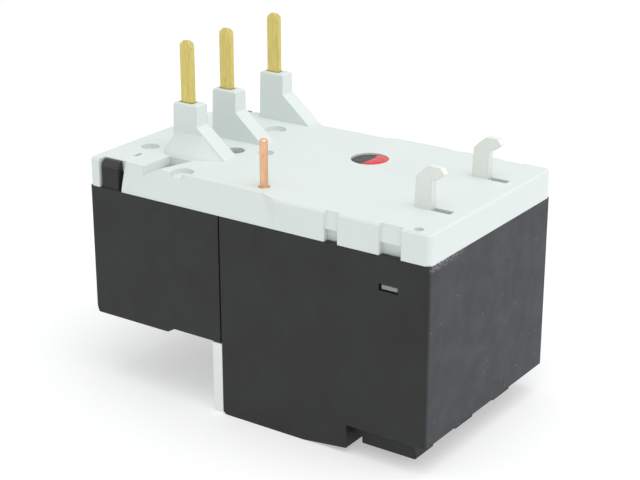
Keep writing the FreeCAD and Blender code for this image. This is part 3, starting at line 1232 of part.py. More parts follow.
def reset_button():
    """The turning button on the end of the reset plunger."""
    front = FRONT_Y - BUTTON_PROUD
    back = collar_y() - FACE_GAP
    button = rod_y(RESET_X, FASCIA_Z, front, back, RESET_R)
    rim = [e for e in button.Edges if len(e.Vertexes) == 1 and e.Vertexes[0].Y < front + 0.01]
    button = button.makeChamfer(BUTTON_EDGE, rim)
    slot = centred(RESET_X, front, RESET_SLOT_LENGTH, 2 * RESET_SLOT_DEPTH, FASCIA_Z - RESET_SLOT / 2,
                   FASCIA_Z + RESET_SLOT / 2)
    bore = rod_y(RESET_X, FASCIA_Z, front + RESET_CAP, back + 1, RESET_PIN_R + RUNNING_GAP)
    return cut(button, [slot, bore])


def reset_plunger():
    """The plunger behind the reset button, with its collar and long stem."""
    y = collar_y()
    pin = rod_y(RESET_X, FASCIA_Z, FRONT_Y - BUTTON_PROUD + RESET_CAP + FACE_GAP, y, RESET_PIN_R)
    collar = rod_y(RESET_X, FASCIA_Z, y, y + COLLAR_THICKNESS, RESET_R + COLLAR_LIP)
    stem = rod_y(RESET_X, FASCIA_Z, y + COLLAR_THICKNESS, y + COLLAR_THICKNESS + STEM_LENGTH, STEM_R)
    return fuse([pin, collar, stem])


def stop_button():
    """The stop and test button in one piece with its stem."""
    y = collar_y()
    front = FRONT_Y - BUTTON_PROUD
    head = rod_y(STOP_X, STOP_Z, front, y, STOP_R)
    rim = [e for e in head.Edges if len(e.Vertexes) == 1 and e.Vertexes[0].Y < front + 0.01]
    head = head.makeChamfer(BUTTON_EDGE, rim)
    collar = rod_y(STOP_X, STOP_Z, y, y + COLLAR_THICKNESS, STOP_R + COLLAR_LIP)
    stem = rod_y(STOP_X, STOP_Z, y + COLLAR_THICKNESS, y + COLLAR_THICKNESS + STOP_STEM_LENGTH, STOP_STEM_R)
    return fuse([head, collar, stem])


def button_spring(x, z, stem_r, wire):
    """A return spring between a collar and the guide plate."""
    start = collar_y() + COLLAR_THICKNESS
    mean_r = stem_r + SPRING_GAP + wire / 2
    return coil(V(x, start, z), V(0, 1, 0), GUIDE_Y - start, mean_r, wire, SPRING_TURNS)


def build():
    """Every sub-part under its own name."""
    parts = {
        "top_plate": [top_plate()],
        "front_housing": [front_housing()],
        "rear_housing": [rear_housing()],
        "terminal_cover": [terminal_cover()],
        "front_fascia": [front_fascia()],
        "calibration_screw": [calibration_screw()],
        "sealing_lacquer": [sealing_lacquer()],
        "coil_terminal": [coil_terminal()],
        "coil_link_wire": [coil_link_wire()],
        "main_terminal_screws": main_screws(),
        "main_clamp_plates": main_clamps(),
        "aux_terminal_screws": aux_screws(),
        "aux_clamp_plates": aux_clamps(),
        "nc_contact_bridge": [bridge(-1)],
        "no_contact_bridge": [bridge(1)],
        "bridge_springs": bridge_springs(),
        "contact_carrier": [contact_carrier()],
        "carrier_spring": [carrier_spring()],
        "trip_flag": [trip_flag()],
        "trip_slide": [trip_slide()],
        "differential_slide": [differential_slide()],
        "trip_lever": [trip_lever()],
        "lever_pin": [lever_pin()],
        "setting_lever": [setting_lever()],
        "compensation_strip": [compensation_strip()],
        "setting_pin": [setting_pin()],
        "current_dial": [current_dial()],
        "setting_cam": [setting_cam()],
        "reset_button": [reset_button()],
        "reset_plunger": [reset_plunger()],
        "reset_spring": [button_spring(RESET_X, FASCIA_Z, STEM_R, RESET_WIRE)],
        "stop_button": [stop_button()],
        "stop_spring": [button_spring(STOP_X, STOP_Z, STOP_STEM_R, STOP_WIRE)],
    }
    for k, pole_x in enumerate(POLE_X):
        name = str(k + 1)
        parts["contact_blade_" + name] = [contact_blade(TOWER_X[k])]
        parts["blade_lead_" + name] = [blade_lead(TOWER_X[k], pole_x)]
        parts["bimetal_" + name] = [bimetal(pole_x)]
        parts["heater_sleeve_" + name] = [heater_sleeve(pole_x)]
        parts["heater_winding_" + name] = [heater_winding(pole_x)]
        parts["main_terminal_" + name] = [main_terminal(TERMINAL_X[2 - k], pole_x)]
    rails = [outer_rail(), inner_rail()]
    parts["aux_rail_1"], parts["aux_rail_2"] = [[r.mirror(V(0, 0, 0), V(1, 0, 0))] for r in rails]
    parts["aux_rail_4"], parts["aux_rail_3"] = [[r] for r in rails]
    return parts


os.makedirs("parts", exist_ok=True)
for node, solids in build().items():
    shape = solids[0] if len(solids) == 1 else Part.Compound(solids)
    shape.exportStep(os.path.join("parts", node + ".step"))
    print(node, len(shape.Solids), round(shape.Volume, 1), shape.isValid())
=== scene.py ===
# %% [markdown]
# # A plug-on thermal overload relay
# The relay protects a motor. Its white top plate meets the contactor above it, three brass blades carry the
# current down, and two black shells hold the heaters, the bimetal strips and the contacts. This notebook
# loads the solid model as a fixed frame, and then gives every piece its finish and its fine detail.

# %% The frame
import json
import math
import random

import bmesh
import bpy
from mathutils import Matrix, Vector


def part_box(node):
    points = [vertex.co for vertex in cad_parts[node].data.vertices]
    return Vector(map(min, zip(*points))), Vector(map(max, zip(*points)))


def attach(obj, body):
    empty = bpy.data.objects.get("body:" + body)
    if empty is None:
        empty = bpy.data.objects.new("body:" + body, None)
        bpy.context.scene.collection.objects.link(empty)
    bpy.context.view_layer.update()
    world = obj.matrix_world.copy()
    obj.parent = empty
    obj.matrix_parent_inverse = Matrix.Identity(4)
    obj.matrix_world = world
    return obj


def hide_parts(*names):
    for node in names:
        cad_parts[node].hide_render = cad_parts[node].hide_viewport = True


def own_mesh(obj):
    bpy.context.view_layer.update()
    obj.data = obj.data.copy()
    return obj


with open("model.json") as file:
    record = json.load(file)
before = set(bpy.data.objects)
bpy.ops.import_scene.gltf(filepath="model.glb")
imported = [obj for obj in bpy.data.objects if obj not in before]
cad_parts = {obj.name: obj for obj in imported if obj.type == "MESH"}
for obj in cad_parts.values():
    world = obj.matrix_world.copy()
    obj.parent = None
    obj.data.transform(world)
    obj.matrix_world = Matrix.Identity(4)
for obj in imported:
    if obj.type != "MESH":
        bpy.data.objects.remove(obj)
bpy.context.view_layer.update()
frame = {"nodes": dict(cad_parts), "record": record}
scene = bpy.context.scene
MM = 0.001

# %% [markdown]
# ## The camera
# A long lens from about a third of a metre keeps the edges nearly parallel. The camera looks at the back
# right corner from a little above, so that the blades, the hooks and both shells show. It is aimed by
# turning its minus Z axis to the target, with its Y axis up.

# %% The camera
CAMERA_PLACE = Vector((0.2470, 0.1710, 0.1450))
CAMERA_AIM = Vector((0.0022, 0.0025, 0.0320))
LENS = 91.3
SENSOR_WIDTH = 36.0
NEAREST_SEEN = 0.01


def make_camera():
    """A long-lens camera that looks down on the back right corner."""
    camera = bpy.data.objects.new("camera", bpy.data.cameras.new("camera"))
    scene.collection.objects.link(camera)
    camera.data.lens = LENS
    camera.data.sensor_width = SENSOR_WIDTH
    camera.data.clip_start = NEAREST_SEEN
    camera.location = CAMERA_PLACE
    camera.rotation_mode = "QUATERNION"
    camera.rotation_quaternion = (CAMERA_AIM - CAMERA_PLACE).to_track_quat("-Z", "Y")
    scene.camera = camera
    return camera


print("the camera stands", round((make_camera().location - CAMERA_AIM).length, 3), "m away")

# %% [markdown]
# ## A small kit for finishes
# A finish is one Principled shader and the textures that feed it. Every texture reads Object coordinates in
# metres, so a grain of a tenth of a millimetre has that size on every piece. The class below only shortens
# the writing: each method adds one node or a small group and returns the socket to link on. An edge counts
# as worn where the rounded normal leans away from the real one, which their dot product tells.


WEAR_FROM, WEAR_FULL = 0.995, 0.8


def connect(tree, socket, source):
    """Puts a number, a colour or another node's output into a socket."""
    if isinstance(source, bpy.types.NodeSocket):
        tree.links.new(source, socket)
    else:
        socket.default_value = source


class Finish:
    """A material with one shader, and helpers that add the nodes in front of it."""

    def __init__(self, name, **uniform):
        self.material = bpy.data.materials.new(name)
        self.material.use_nodes = True
        self.tree = self.material.node_tree
        self.shader = self.tree.nodes["Principled BSDF"]
        for socket, value in uniform.items():
            self.shader.inputs[socket.replace("_", " ")].default_value = value
        self.place = self.add("ShaderNodeTexCoord").outputs["Object"]

    def add(self, kind, **settings):
        """A new node with some of its settings."""
        node = self.tree.nodes.new(kind)
        for name, value in settings.items():
            setattr(node, name, value)
        return node

    def feed(self, socket, source):
        """Fills one socket of this material's nodes."""
        connect(self.tree, socket, source)

    def stretched(self, stretch):
        """The place, drawn out along an axis."""
        node = self.add("ShaderNodeMapping")
        self.feed(node.inputs["Vector"], self.place)
        node.inputs["Scale"].default_value = stretch
        return node.outputs["Vector"]

    def noise(self, size, detail=2.0, stretch=None):
        """Soft noise whose blotches are about as large as the size in metres."""
        node = self.add("ShaderNodeTexNoise")
        self.feed(node.inputs["Vector"], self.stretched(stretch) if stretch else self.place)
        node.inputs["Scale"].default_value = 1 / size
        node.inputs["Detail"].default_value = detail
        return node.outputs["Fac"]

    def cells(self, size):
        """Scattered points: the distance to the nearest, and a random colour for each."""
        node = self.add("ShaderNodeTexVoronoi")
        self.feed(node.inputs["Vector"], self.place)
        node.inputs["Scale"].default_value = 1 / size
        return node.outputs["Distance"], node.outputs["Color"]

    def ramp(self, value, low, high, start=0.0, end=1.0):
        """The value between two limits, as a straight slope from start to end."""
        node = self.add("ShaderNodeMapRange")
        for name, number in (("Value", value), ("From Min", low), ("From Max", high), ("To Min", start),
                             ("To Max", end)):
            self.feed(node.inputs[name], number)
        return node.outputs["Result"]

    def clouds(self, size, detail, limits, start=0.0, end=1.0):
        """Noise with more contrast: all start below the first limit, all end above the second."""
        return self.ramp(self.noise(size, detail), limits[0], limits[1], start, end)

    def combine(self, operation, *values):
        """Two or more values through one operation, such as MULTIPLY or ADD."""
        result = values[0]
        for value in values[1:]:
            node = self.add("ShaderNodeMath", operation=operation)
            self.feed(node.inputs[0], result)
            self.feed(node.inputs[1], value)
            result = node.outputs[0]
        return result

    def axis(self, letter):
        """The place along one axis, in metres."""
        node = self.add("ShaderNodeSeparateXYZ")
        self.feed(node.inputs[0], self.place)
        return node.outputs[letter]

    def mix(self, factor, a, b):
        """A colour between two colours."""
        node = self.add("ShaderNodeMix", data_type="RGBA")
        self.feed(node.inputs[0], factor)
        self.feed(node.inputs[6], a)
        self.feed(node.inputs[7], b)
        return node.outputs[2]

    def bump(self, height, depth, strength=1.0):
        """Relief of a depth in metres, laid on top of what the shader has already."""
        node = self.add("ShaderNodeBump")
        self.feed(node.inputs["Height"], height)
        node.inputs["Distance"].default_value = depth
        node.inputs["Strength"].default_value = strength
        before = self.shader.inputs["Normal"]
        if before.is_linked:
            self.feed(node.inputs["Normal"], before.links[0].from_socket)
        self.feed(before, node.outputs["Normal"])

    def soft_edges(self, radius):
        """Catches light on sharp edges as if they had that radius."""
        node = self.add("ShaderNodeBevel", samples=6)
        node.inputs["Radius"].default_value = radius
        self.feed(self.shader.inputs["Normal"], node.outputs["Normal"])
        return self.edges(node.outputs["Normal"])

    def edges(self, rounded):
        """How far the rounded normal leans away from the real one, for wear along edges."""
        real = self.add("ShaderNodeNewGeometry").outputs["Normal"]
        node = self.add("ShaderNodeVectorMath", operation="DOT_PRODUCT")
        self.feed(node.inputs[0], rounded)
        self.feed(node.inputs[1], real)
        return self.ramp(node.outputs["Value"], WEAR_FROM, WEAR_FULL)

    def colour(self, source):
        """Links the base colour."""
        self.feed(self.shader.inputs["Base Color"], source)

    def rough(self, source):
        """Links the roughness."""
        self.feed(self.shader.inputs["Roughness"], source)


def grey(level):
    """A neutral colour."""
    return (level, level, level, 1.0)


def darker(colour, share):
    """A colour with only a share of its light left."""
    return tuple(level * share for level in colour[:3]) + (1,)


print("finishes are written with", len([m for m in dir(Finish) if m[0] != "_"]), "helpers")

# %% [markdown]
# ## Moulded plastic
# A moulding is never one flat colour: the pigment drifts a little, a fine spark-eroded grain scatters the
# light, and handling leaves dust specks and pale rubbed edges. One function makes the whole family, with
# the amount of each fault as its arguments. Specks come from scattered points: each point has a random
# number, and only the luckiest get a visible dot.


# %% Moulded plastic
EDGE_RADIUS = 0.25 * MM
DRIFT_SIZE = 11 * MM
RUB_SIZE = 1.6 * MM
SHEEN_SIZE = 3.2 * MM
SMOOTHER, ROUGHER = 0.06, 0.08
GRAIN_SIZE, GRAIN_DEPTH, GRAIN_STRENGTH = 0.16 * MM, 0.012 * MM, 0.5
SINK_SIZE, SINK_DEPTH, SINK_STRENGTH = 4.5 * MM, 0.03 * MM, 0.25
SPECK_SPACING, SPECK_RADIUS, SMALLEST_SPECK = 2.3 * MM, 0.13 * MM, 0.4


def speck_mask(finish, spacing, radius, share):
    """Small dots, one on a share of the scattered points."""
    distance, luck = finish.cells(spacing)
    split = finish.add("ShaderNodeSeparateColor")
    finish.feed(split.inputs[0], luck)
    reach = finish.ramp(split.outputs[1], 0.0, 1.0, radius * SMALLEST_SPECK / spacing, radius / spacing)
    dot = finish.combine("LESS_THAN", distance, reach)
    chosen = finish.combine("LESS_THAN", split.outputs[0], share)
    return finish.combine("MULTIPLY", dot, chosen)


def moulded(name, colour, drift, roughness=0.5, specks=0.0, speck_colour=grey(0.5), worn=None, gloss=0.5):
    """A moulded plastic with pigment drift, grain, dust specks and worn edges."""
    finish = Finish(name, Specular_IOR_Level=gloss)
    edge = finish.soft_edges(EDGE_RADIUS)
    tone = finish.mix(finish.clouds(DRIFT_SIZE, 3.0, (0.35, 0.68)), colour, drift)
    if worn:
        rubbed = finish.combine("MULTIPLY", edge, finish.clouds(RUB_SIZE, 4.0, (0.42, 0.7)))
        tone = finish.mix(rubbed, tone, worn)
    if specks:
        tone = finish.mix(speck_mask(finish, SPECK_SPACING, SPECK_RADIUS, specks), tone, speck_colour)
    finish.tone = tone
    finish.colour(tone)
    finish.rough(finish.clouds(SHEEN_SIZE, 4.0, (0.3, 0.7), roughness - SMOOTHER, roughness + ROUGHER))
    finish.bump(finish.noise(GRAIN_SIZE, 2.0), GRAIN_DEPTH, GRAIN_STRENGTH)
    finish.bump(finish.noise(SINK_SIZE, 1.0), SINK_DEPTH, SINK_STRENGTH)
    return finish


print("specks up to", SPECK_RADIUS / MM, "mm in radius, about", SPECK_SPACING / MM, "mm apart")

# %% [markdown]
# ## The plate's white and the shells' black
# The plate is a cool white, and its two springy hooks are warmer and painted lighter, as painted light.
# The shells are the same black, but the mounting back is painted greyer as a painted sheen of reflected
# light, with dust specks, and its upper edge shows pale scrapes near one corner. Those differences depend
# on where a point lies, so they are made from its coordinates, with the frame's own measures as the limits.

# %% White and black
plate_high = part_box("top_plate")[1]
rear_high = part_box("rear_housing")[1]
mounts = {mount["name"]: mount["pos_m"] for mount in frame["record"]["mounts"]}
deck_z = mounts["plate_face"][2]
HOOK_ROOT = min(place[1] for name, place in mounts.items() if name.startswith("hook")) - 5.2 * MM
HOOK_BLEND, HOOK_RISE = 1 * MM, 0.6 * MM
BACK_SKIN = (0.30 * MM, 0.05 * MM)
BACK_SHEEN_SIZE = 7 * MM
BACK_SPECK_SPACING, BACK_SPECK_RADIUS, BACK_SPECK_SHARE = 1.5 * MM, 0.15 * MM, 0.45
SKIRT_EDGE = deck_z - 5.8 * MM
SCRAPE_BAND = (1.5 * MM, 0.3 * MM)
SCRAPE_START, SCRAPE_FULL = 9 * MM, rear_high.x - 3 * MM
SCRAPE_TEAR_SIZE = 0.45 * MM


def white_plate():
    """Cool white for the plate; the hooks are warmer and painted lighter, as painted light."""
    finish = moulded("white plate", (0.745, 0.800, 0.780, 1), (0.725, 0.785, 0.768, 1), roughness=0.52,
                     specks=0.05, speck_colour=grey(0.45), worn=(0.80, 0.83, 0.81, 1), gloss=0.35)
    # painted light: the hooks get a paler, warmer copy of the plate's white where they stand up
    behind = finish.ramp(finish.axis("Y"), HOOK_ROOT, HOOK_ROOT + HOOK_BLEND)
    above = finish.ramp(finish.axis("Z"), deck_z, deck_z + HOOK_RISE)
    finish.colour(finish.mix(finish.combine("MULTIPLY", behind, above), finish.tone, (0.82, 0.84, 0.795, 1)))
    return finish.material


def front_black():
    """Black for the front shell."""
    return moulded("front black", grey(0.028), (0.031, 0.033, 0.034, 1), roughness=0.5, specks=0.10,
                   speck_colour=grey(0.30), worn=grey(0.075), gloss=0.22).material


def rear_black():
    """Black for the rear shell; its mounting back has a painted sheen, dust specks and scrapes."""
    finish = moulded("rear black", grey(0.026), (0.030, 0.031, 0.032, 1), roughness=0.5, specks=0.12,
                     speck_colour=grey(0.30), worn=grey(0.08), gloss=0.22)
    back = finish.ramp(finish.axis("Y"), rear_high.y - BACK_SKIN[0], rear_high.y - BACK_SKIN[1])
    # painted sheen: the mounting back is painted greyer in clouds, standing for light reflected off it
    painted_back_sheen = finish.mix(finish.clouds(BACK_SHEEN_SIZE, 5.0, (0.3, 0.75)), (0.040, 0.042, 0.048, 1),
                      (0.053, 0.055, 0.061, 1))
    dust = speck_mask(finish, BACK_SPECK_SPACING, BACK_SPECK_RADIUS, BACK_SPECK_SHARE)
    tone = finish.mix(back, finish.tone, finish.mix(dust, painted_back_sheen, grey(0.42)))
    band = finish.ramp(finish.axis("Z"), SKIRT_EDGE - SCRAPE_BAND[0], SKIRT_EDGE - SCRAPE_BAND[1])
    near = finish.ramp(finish.axis("X"), SCRAPE_START, SCRAPE_FULL)
    torn = finish.clouds(SCRAPE_TEAR_SIZE, 6.0, (0.42, 0.64))
    finish.colour(finish.mix(finish.combine("MULTIPLY", back, band, near, torn), tone, grey(0.36)))
    return finish.material


WHITE, FRONT_BLACK, REAR_BLACK = white_plate(), front_black(), rear_black()
# painted light: a lighter, bluer copy of the shell black for the post caps, standing for light on them
POST_BLACK_PAINTED_LIGHTER = moulded("post black", (0.036, 0.039, 0.044, 1), (0.040, 0.043, 0.048, 1), worn=grey(0.10),
                     gloss=0.3).material
print("the shells' finishes:", ", ".join(m.name for m in (WHITE, FRONT_BLACK, REAR_BLACK, POST_BLACK_PAINTED_LIGHTER)))

# %% [markdown]
# ## Metals
# Brass and copper are metallic shaders: their colour is the colour of their reflection. Rolled strip has
# fine streaks along its length, which are noise drawn out along one axis, used for roughness and bump.
# Bare metal also gathers small brown stains, which are the highest parts of a finer noise.


# %% Metals
METAL_EDGE = 0.15 * MM
STREAK_SIZE = 0.35 * MM
ALONG_Z, ALONG_Y, NO_GRAIN = (1, 1, 0.08), (1, 0.1, 1), (1, 1, 1)
STAIN_SIZE, STAIN_LIMITS = 1.1 * MM, (0.66, 0.74)
TARNISH_SIZE, TARNISHED = 3.5 * MM, 0.90
STREAKED, STREAK_STRENGTH = 0.84, 0.6
STREAK_SMOOTHER, STREAK_ROUGHER = 0.06, 0.12


def metal(name, colour, stain, roughness, streak=ALONG_Z, streak_depth=0.006 * MM):
    """A rolled or drawn metal with streaks and small stains."""
    finish = Finish(name, Metallic=1.0)
    finish.soft_edges(METAL_EDGE)
    streaks = finish.noise(STREAK_SIZE, 3.0, streak)
    blots = finish.clouds(STAIN_SIZE, 5.0, STAIN_LIMITS)
    broad = finish.mix(finish.clouds(TARNISH_SIZE, 2.0, (0.3, 0.7)), colour, darker(colour, TARNISHED))
    drawn = finish.mix(finish.ramp(streaks, 0.35, 0.65), broad, darker(colour, STREAKED))
    finish.colour(finish.mix(blots, drawn, stain))
    finish.rough(finish.ramp(streaks, 0.25, 0.75, roughness - STREAK_SMOOTHER, roughness + STREAK_ROUGHER))
    finish.bump(streaks, streak_depth, STREAK_STRENGTH)
    return finish.material


BRASS = metal("brass", (0.72, 0.60, 0.20, 1), (0.36, 0.25, 0.09, 1), roughness=0.34)
COPPER = metal("copper", (0.88, 0.52, 0.325, 1), (0.42, 0.19, 0.10, 1), roughness=0.36, streak=(1, 1, 0.12),
               streak_depth=0.02 * MM)
LEAD_COPPER = metal("lead copper", (0.74, 0.40, 0.25, 1), (0.35, 0.16, 0.09, 1), roughness=0.4,
                    streak=ALONG_Y)
ZINC = metal("zinc", (0.62, 0.62, 0.60, 1), (0.38, 0.37, 0.34, 1), roughness=0.36, streak=NO_GRAIN)
SPRING = metal("spring wire", (0.50, 0.50, 0.50, 1), (0.30, 0.29, 0.27, 1), roughness=0.3, streak=NO_GRAIN)
BIMETAL = metal("bimetal", (0.60, 0.57, 0.50, 1), (0.38, 0.33, 0.26, 1), roughness=0.35)
HEATER = metal("heater strip", (0.42, 0.40, 0.37, 1), (0.25, 0.22, 0.20, 1), roughness=0.42,
               streak=(0.1, 0.1, 1))
print("metals:", ", ".join(m.name for m in (BRASS, COPPER, LEAD_COPPER, ZINC, SPRING, BIMETAL, HEATER)))

# %% [markdown]
# ## Small finishes
# The sealed screw is black and grainy under its paint, the lacquer is smooth, and the heater sleeves are
# woven glass fibre, made from two crossed waves. The trip flag is green only on the end that comes into view
# on a trip, so its window changes. The rest are plain mouldings in their own colours.


# %% Small finishes
SOOT_SIZE, SOOT_DEPTH = 0.28 * MM, 0.12 * MM
LACQUER_CLOUD_SIZE = 1.3 * MM
LACQUER_SHEEN_SIZE = 0.5 * MM
LACQUER_WAVE_SIZE, LACQUER_WAVE_DEPTH = 0.8 * MM, 0.05 * MM
WEAVE_SIZE, WEAVE_DEPTH, WEAVE_WOBBLE = 2.4 * MM, 0.08 * MM, 0.6
DRIFTED, WORN_SHARE, WORN_EXTRA = 0.93, 1.15, 0.02


def screw_black():
    """Sooty black whose grains are painted paler, a painted glint, and are also smoother."""
    finish = Finish("screw black", Specular_IOR_Level=0.6)
    grains = finish.noise(SOOT_SIZE, 4.0)
    # painted glint: the grains are painted paler; their lower roughness below gives real highlights too
    finish.colour(finish.mix(finish.ramp(grains, 0.54, 0.70), grey(0.010), grey(0.11)))
    finish.rough(finish.ramp(grains, 0.4, 0.7, 0.5, 0.28))
    finish.bump(grains, SOOT_DEPTH, 0.8)
    return finish.material


def lacquer_red():
    """Smooth red lacquer, a little cloudy and uneven."""
    finish = Finish("lacquer red", Coat_Weight=0.05, Coat_Roughness=0.2, Specular_IOR_Level=0.12)
    clouds = finish.clouds(LACQUER_CLOUD_SIZE, 3.0, (0.35, 0.7))
    finish.colour(finish.mix(clouds, (0.66, 0.030, 0.036, 1), (0.76, 0.060, 0.062, 1)))
    finish.rough(finish.clouds(LACQUER_SHEEN_SIZE, 2.0, (0.3, 0.7), 0.16, 0.3))
    finish.bump(finish.noise(LACQUER_WAVE_SIZE, 3.0), LACQUER_WAVE_DEPTH, 0.7)
    return finish.material


def woven_sleeve():
    """Woven glass fibre."""
    finish = Finish("glass sleeve", Specular_IOR_Level=0.3)
    waves = []
    for direction in ("X", "Z"):
        wave = finish.add("ShaderNodeTexWave", bands_direction=direction)
        finish.feed(wave.inputs["Vector"], finish.place)
        wave.inputs["Scale"].default_value = 1 / WEAVE_SIZE
        wave.inputs["Distortion"].default_value = WEAVE_WOBBLE
        waves.append(wave.outputs["Fac"])
    weave = finish.combine("MAXIMUM", *waves)
    finish.colour(finish.mix(weave, (0.60, 0.58, 0.50, 1), (0.82, 0.80, 0.72, 1)))
    finish.rough(finish.ramp(weave, 0.0, 1.0, 0.8, 0.6))
    finish.bump(weave, WEAVE_DEPTH, 0.8)
    return finish.material


def plain(name, colour):
    """A clean moulding in one colour, with its drift a little darker and its worn edges a little paler."""
    worn = tuple(min(1.0, level * WORN_SHARE + WORN_EXTRA) for level in colour) + (1,)
    return moulded(name, colour + (1,), darker(colour, DRIFTED), specks=0.03, worn=worn, gloss=0.4).material


FLAG_WINDOW, FLAG_BLEND = 3.6 * MM, 0.05 * MM


def two_tone_flag():
    """Green on the end that slides into its window on a trip, and dark on the part that shows at rest.

    The window stands straight above the stop button, which is how its near edge is found.
    """
    low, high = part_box("stop_button")
    window_start = (low.x + high.x) / 2 - FLAG_WINDOW / 2
    finish = moulded("flag green", (0.12, 0.50, 0.20, 1), (0.11, 0.46, 0.18, 1), gloss=0.4)
    resting = finish.ramp(finish.axis("X"), window_start - FLAG_BLEND, window_start + FLAG_BLEND)
    finish.colour(finish.mix(resting, finish.tone, grey(0.03)))
    return finish.material


SCREW_BLACK, RED, SLEEVE = screw_black(), lacquer_red(), woven_sleeve()
GREY = plain("cover grey", (0.84, 0.89, 0.875))
CARRIER = plain("carrier black", (0.06, 0.06, 0.065))
SLIDE = plain("slide grey", (0.37, 0.38, 0.38))
FLAG = two_tone_flag()
DIAL = plain("dial grey", (0.60, 0.62, 0.61))
BLUE = plain("reset blue", (0.04, 0.13, 0.42))
STOP_RED = plain("stop red", (0.55, 0.04, 0.04))
INK = plain("scale ink", (0.02, 0.02, 0.02))
SMALL = (SCREW_BLACK, RED, SLEEVE, GREY, CARRIER, SLIDE, FLAG, DIAL, BLUE, STOP_RED, INK)
print("small finishes:", ", ".join(material.name for material in SMALL))

# %% [markdown]
# ## Finishes go on the frame
# Each node of the frame carries a slot name, so one table sends every node to its finish. The two blacks
# share a slot, and so do the two coppers, so the front shell and the link wire are picked by node.

# %% Finishes on the frame
BY_SLOT = {"white_plastic": WHITE, "black_plastic": REAR_BLACK, "grey_plastic": GREY,
           "screw_black": SCREW_BLACK, "red_lacquer": RED, "copper": LEAD_COPPER, "brass": BRASS,
           "steel": ZINC, "spring_steel": SPRING, "bimetal": BIMETAL, "heater_strip": HEATER,
           "glass_sleeve": SLEEVE, "carrier_plastic": CARRIER, "slide_plastic": SLIDE, "flag_green": FLAG,
           "dial_grey": DIAL, "reset_blue": BLUE, "stop_red": STOP_RED}
BY_NODE = {"front_housing": FRONT_BLACK, "coil_link_wire": COPPER}


def dress(node, material):
    """Gives every slot of a node's object the same finish."""
    slots = frame["nodes"][node].material_slots
    if not slots:
        frame["nodes"][node].data.materials.append(material)
    for slot in slots:
        slot.material = material


for part in frame["record"]["subparts"]:
    dress(part["node"], BY_NODE.get(part["node"], BY_SLOT[part["material_slot"]]))

# %% [markdown]
# ## From mesh code to a piece
# Pieces with a free form are written point by point with bmesh. One function turns that into an object at
# the origin with its finish, ready to ride on a body. Edges between faces that meet at a steep angle are
# marked sharp, so that smooth shading does not wash over corners. Most of the forms are a skin over a row of
# rings, and a second function makes the faces along it.


# %% A finished piece
SHARP_FROM = math.radians(40)


def skin(bm, rings):
    """Faces from each ring of points to the next."""
    for ring, following in zip(rings, rings[1:]):
        for k in range(len(ring)):
            bm.faces.new((ring[k - 1], ring[k], following[k], following[k - 1]))


def finished(name, bm, material, smooth=True):
    """Turns mesh code into a piece at the origin with its finish; sharp corners stay sharp."""
    for edge in bm.edges:
        edge.smooth = not edge.is_manifold or edge.calc_face_angle() < SHARP_FROM
    mesh = bpy.data.meshes.new(name)
    bm.to_mesh(mesh)
    bm.free()
    mesh.materials.append(material)
    for face in mesh.polygons:
        face.use_smooth = smooth
    piece = bpy.data.objects.new(name, mesh)
    scene.collection.objects.link(piece)
    return piece


print("free forms are made with", skin.__name__, "and", finished.__name__)

# %% [markdown]
# ## The sealing lacquer
# A drop of lacquer locks the factory setting. It flowed over the rear half of the screw's head, so its front
# edge wanders and its top is domed by surface tension. The drop is built from rings that shrink from its
# wandering edge towards its middle while they rise. The bare front half of the head is a grainy black face,
# a little below the plate, and it is a piece of its own.

# %% The sealing lacquer
drop_low, drop_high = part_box("sealing_lacquer")
drop_radius = (drop_high.x - drop_low.x) / 2
screw_low, screw_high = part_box("calibration_screw")
SCREW_FACE = deck_z - 0.30 * MM
WAVE_COUNTS = (2, 3, 5, 7, 11)
EDGE_POINTS = 72
FRONT_WANDER, FRONT_SHIFT, FRONT_SHARE, FRONT_SEED = 0.40 * MM, 0.15 * MM, 0.25, 4
RIM_WANDER, RIM_SEED = 0.03, 9
HEART_SHIFT = 0.45
DROP_RINGS = ((1.0, 0.0), (1.0, 0.10), (0.94, 0.22), (0.80, 0.31), (0.5, 0.37), (0.2, 0.36))
FACE_POINTS, FACE_ROUNDING, FACE_TUCK = 64, 0.12 * MM, 0.2 * MM


def wander(angle, seed):
    """A smooth random wave round a circle."""
    dice = random.Random(seed)
    waves = [(k, dice.uniform(0, 2 * math.pi), 1 / k) for k in WAVE_COUNTS]
    return sum(weight * math.sin(k * angle + shift) for k, shift, weight in waves)


def ring_of(bm, middle, edge, share, height):
    """One ring of points, a share of the way from the middle to the edge."""
    return [bm.verts.new(middle.lerp(point, share) + Vector((0, 0, height))) for point in edge]


def lacquer_edge(middle):
    """The drop's outline: round at the back, wandering along the front."""
    edge = []
    for k in range(EDGE_POINTS):
        angle = 2 * math.pi * k / EDGE_POINTS
        x, y = drop_radius * math.cos(angle), drop_radius * math.sin(angle)
        front = FRONT_WANDER * wander(2 * angle, FRONT_SEED) - FRONT_SHIFT
        y = max(y, front) if y < drop_radius * FRONT_SHARE else y
        rim = 1 - RIM_WANDER * abs(wander(angle, RIM_SEED))
        edge.append(middle + Vector((x * rim, y * rim, 0)))
    return edge


def make_lacquer():
    """A domed drop with a wandering edge."""
    middle = Vector(((drop_low.x + drop_high.x) / 2, drop_low.y, SCREW_FACE))
    heart = middle + Vector((0, drop_radius * HEART_SHIFT, 0))
    edge = lacquer_edge(middle)
    bm = bmesh.new()
    rings = [ring_of(bm, heart, edge, share, height * MM) for share, height in DROP_RINGS]
    skin(bm, rings)
    bm.faces.new(rings[-1])
    bm.faces.new(rings[0][::-1])
    bmesh.ops.recalc_face_normals(bm, faces=bm.faces)
    return finished("sealing_drop", bm, RED)


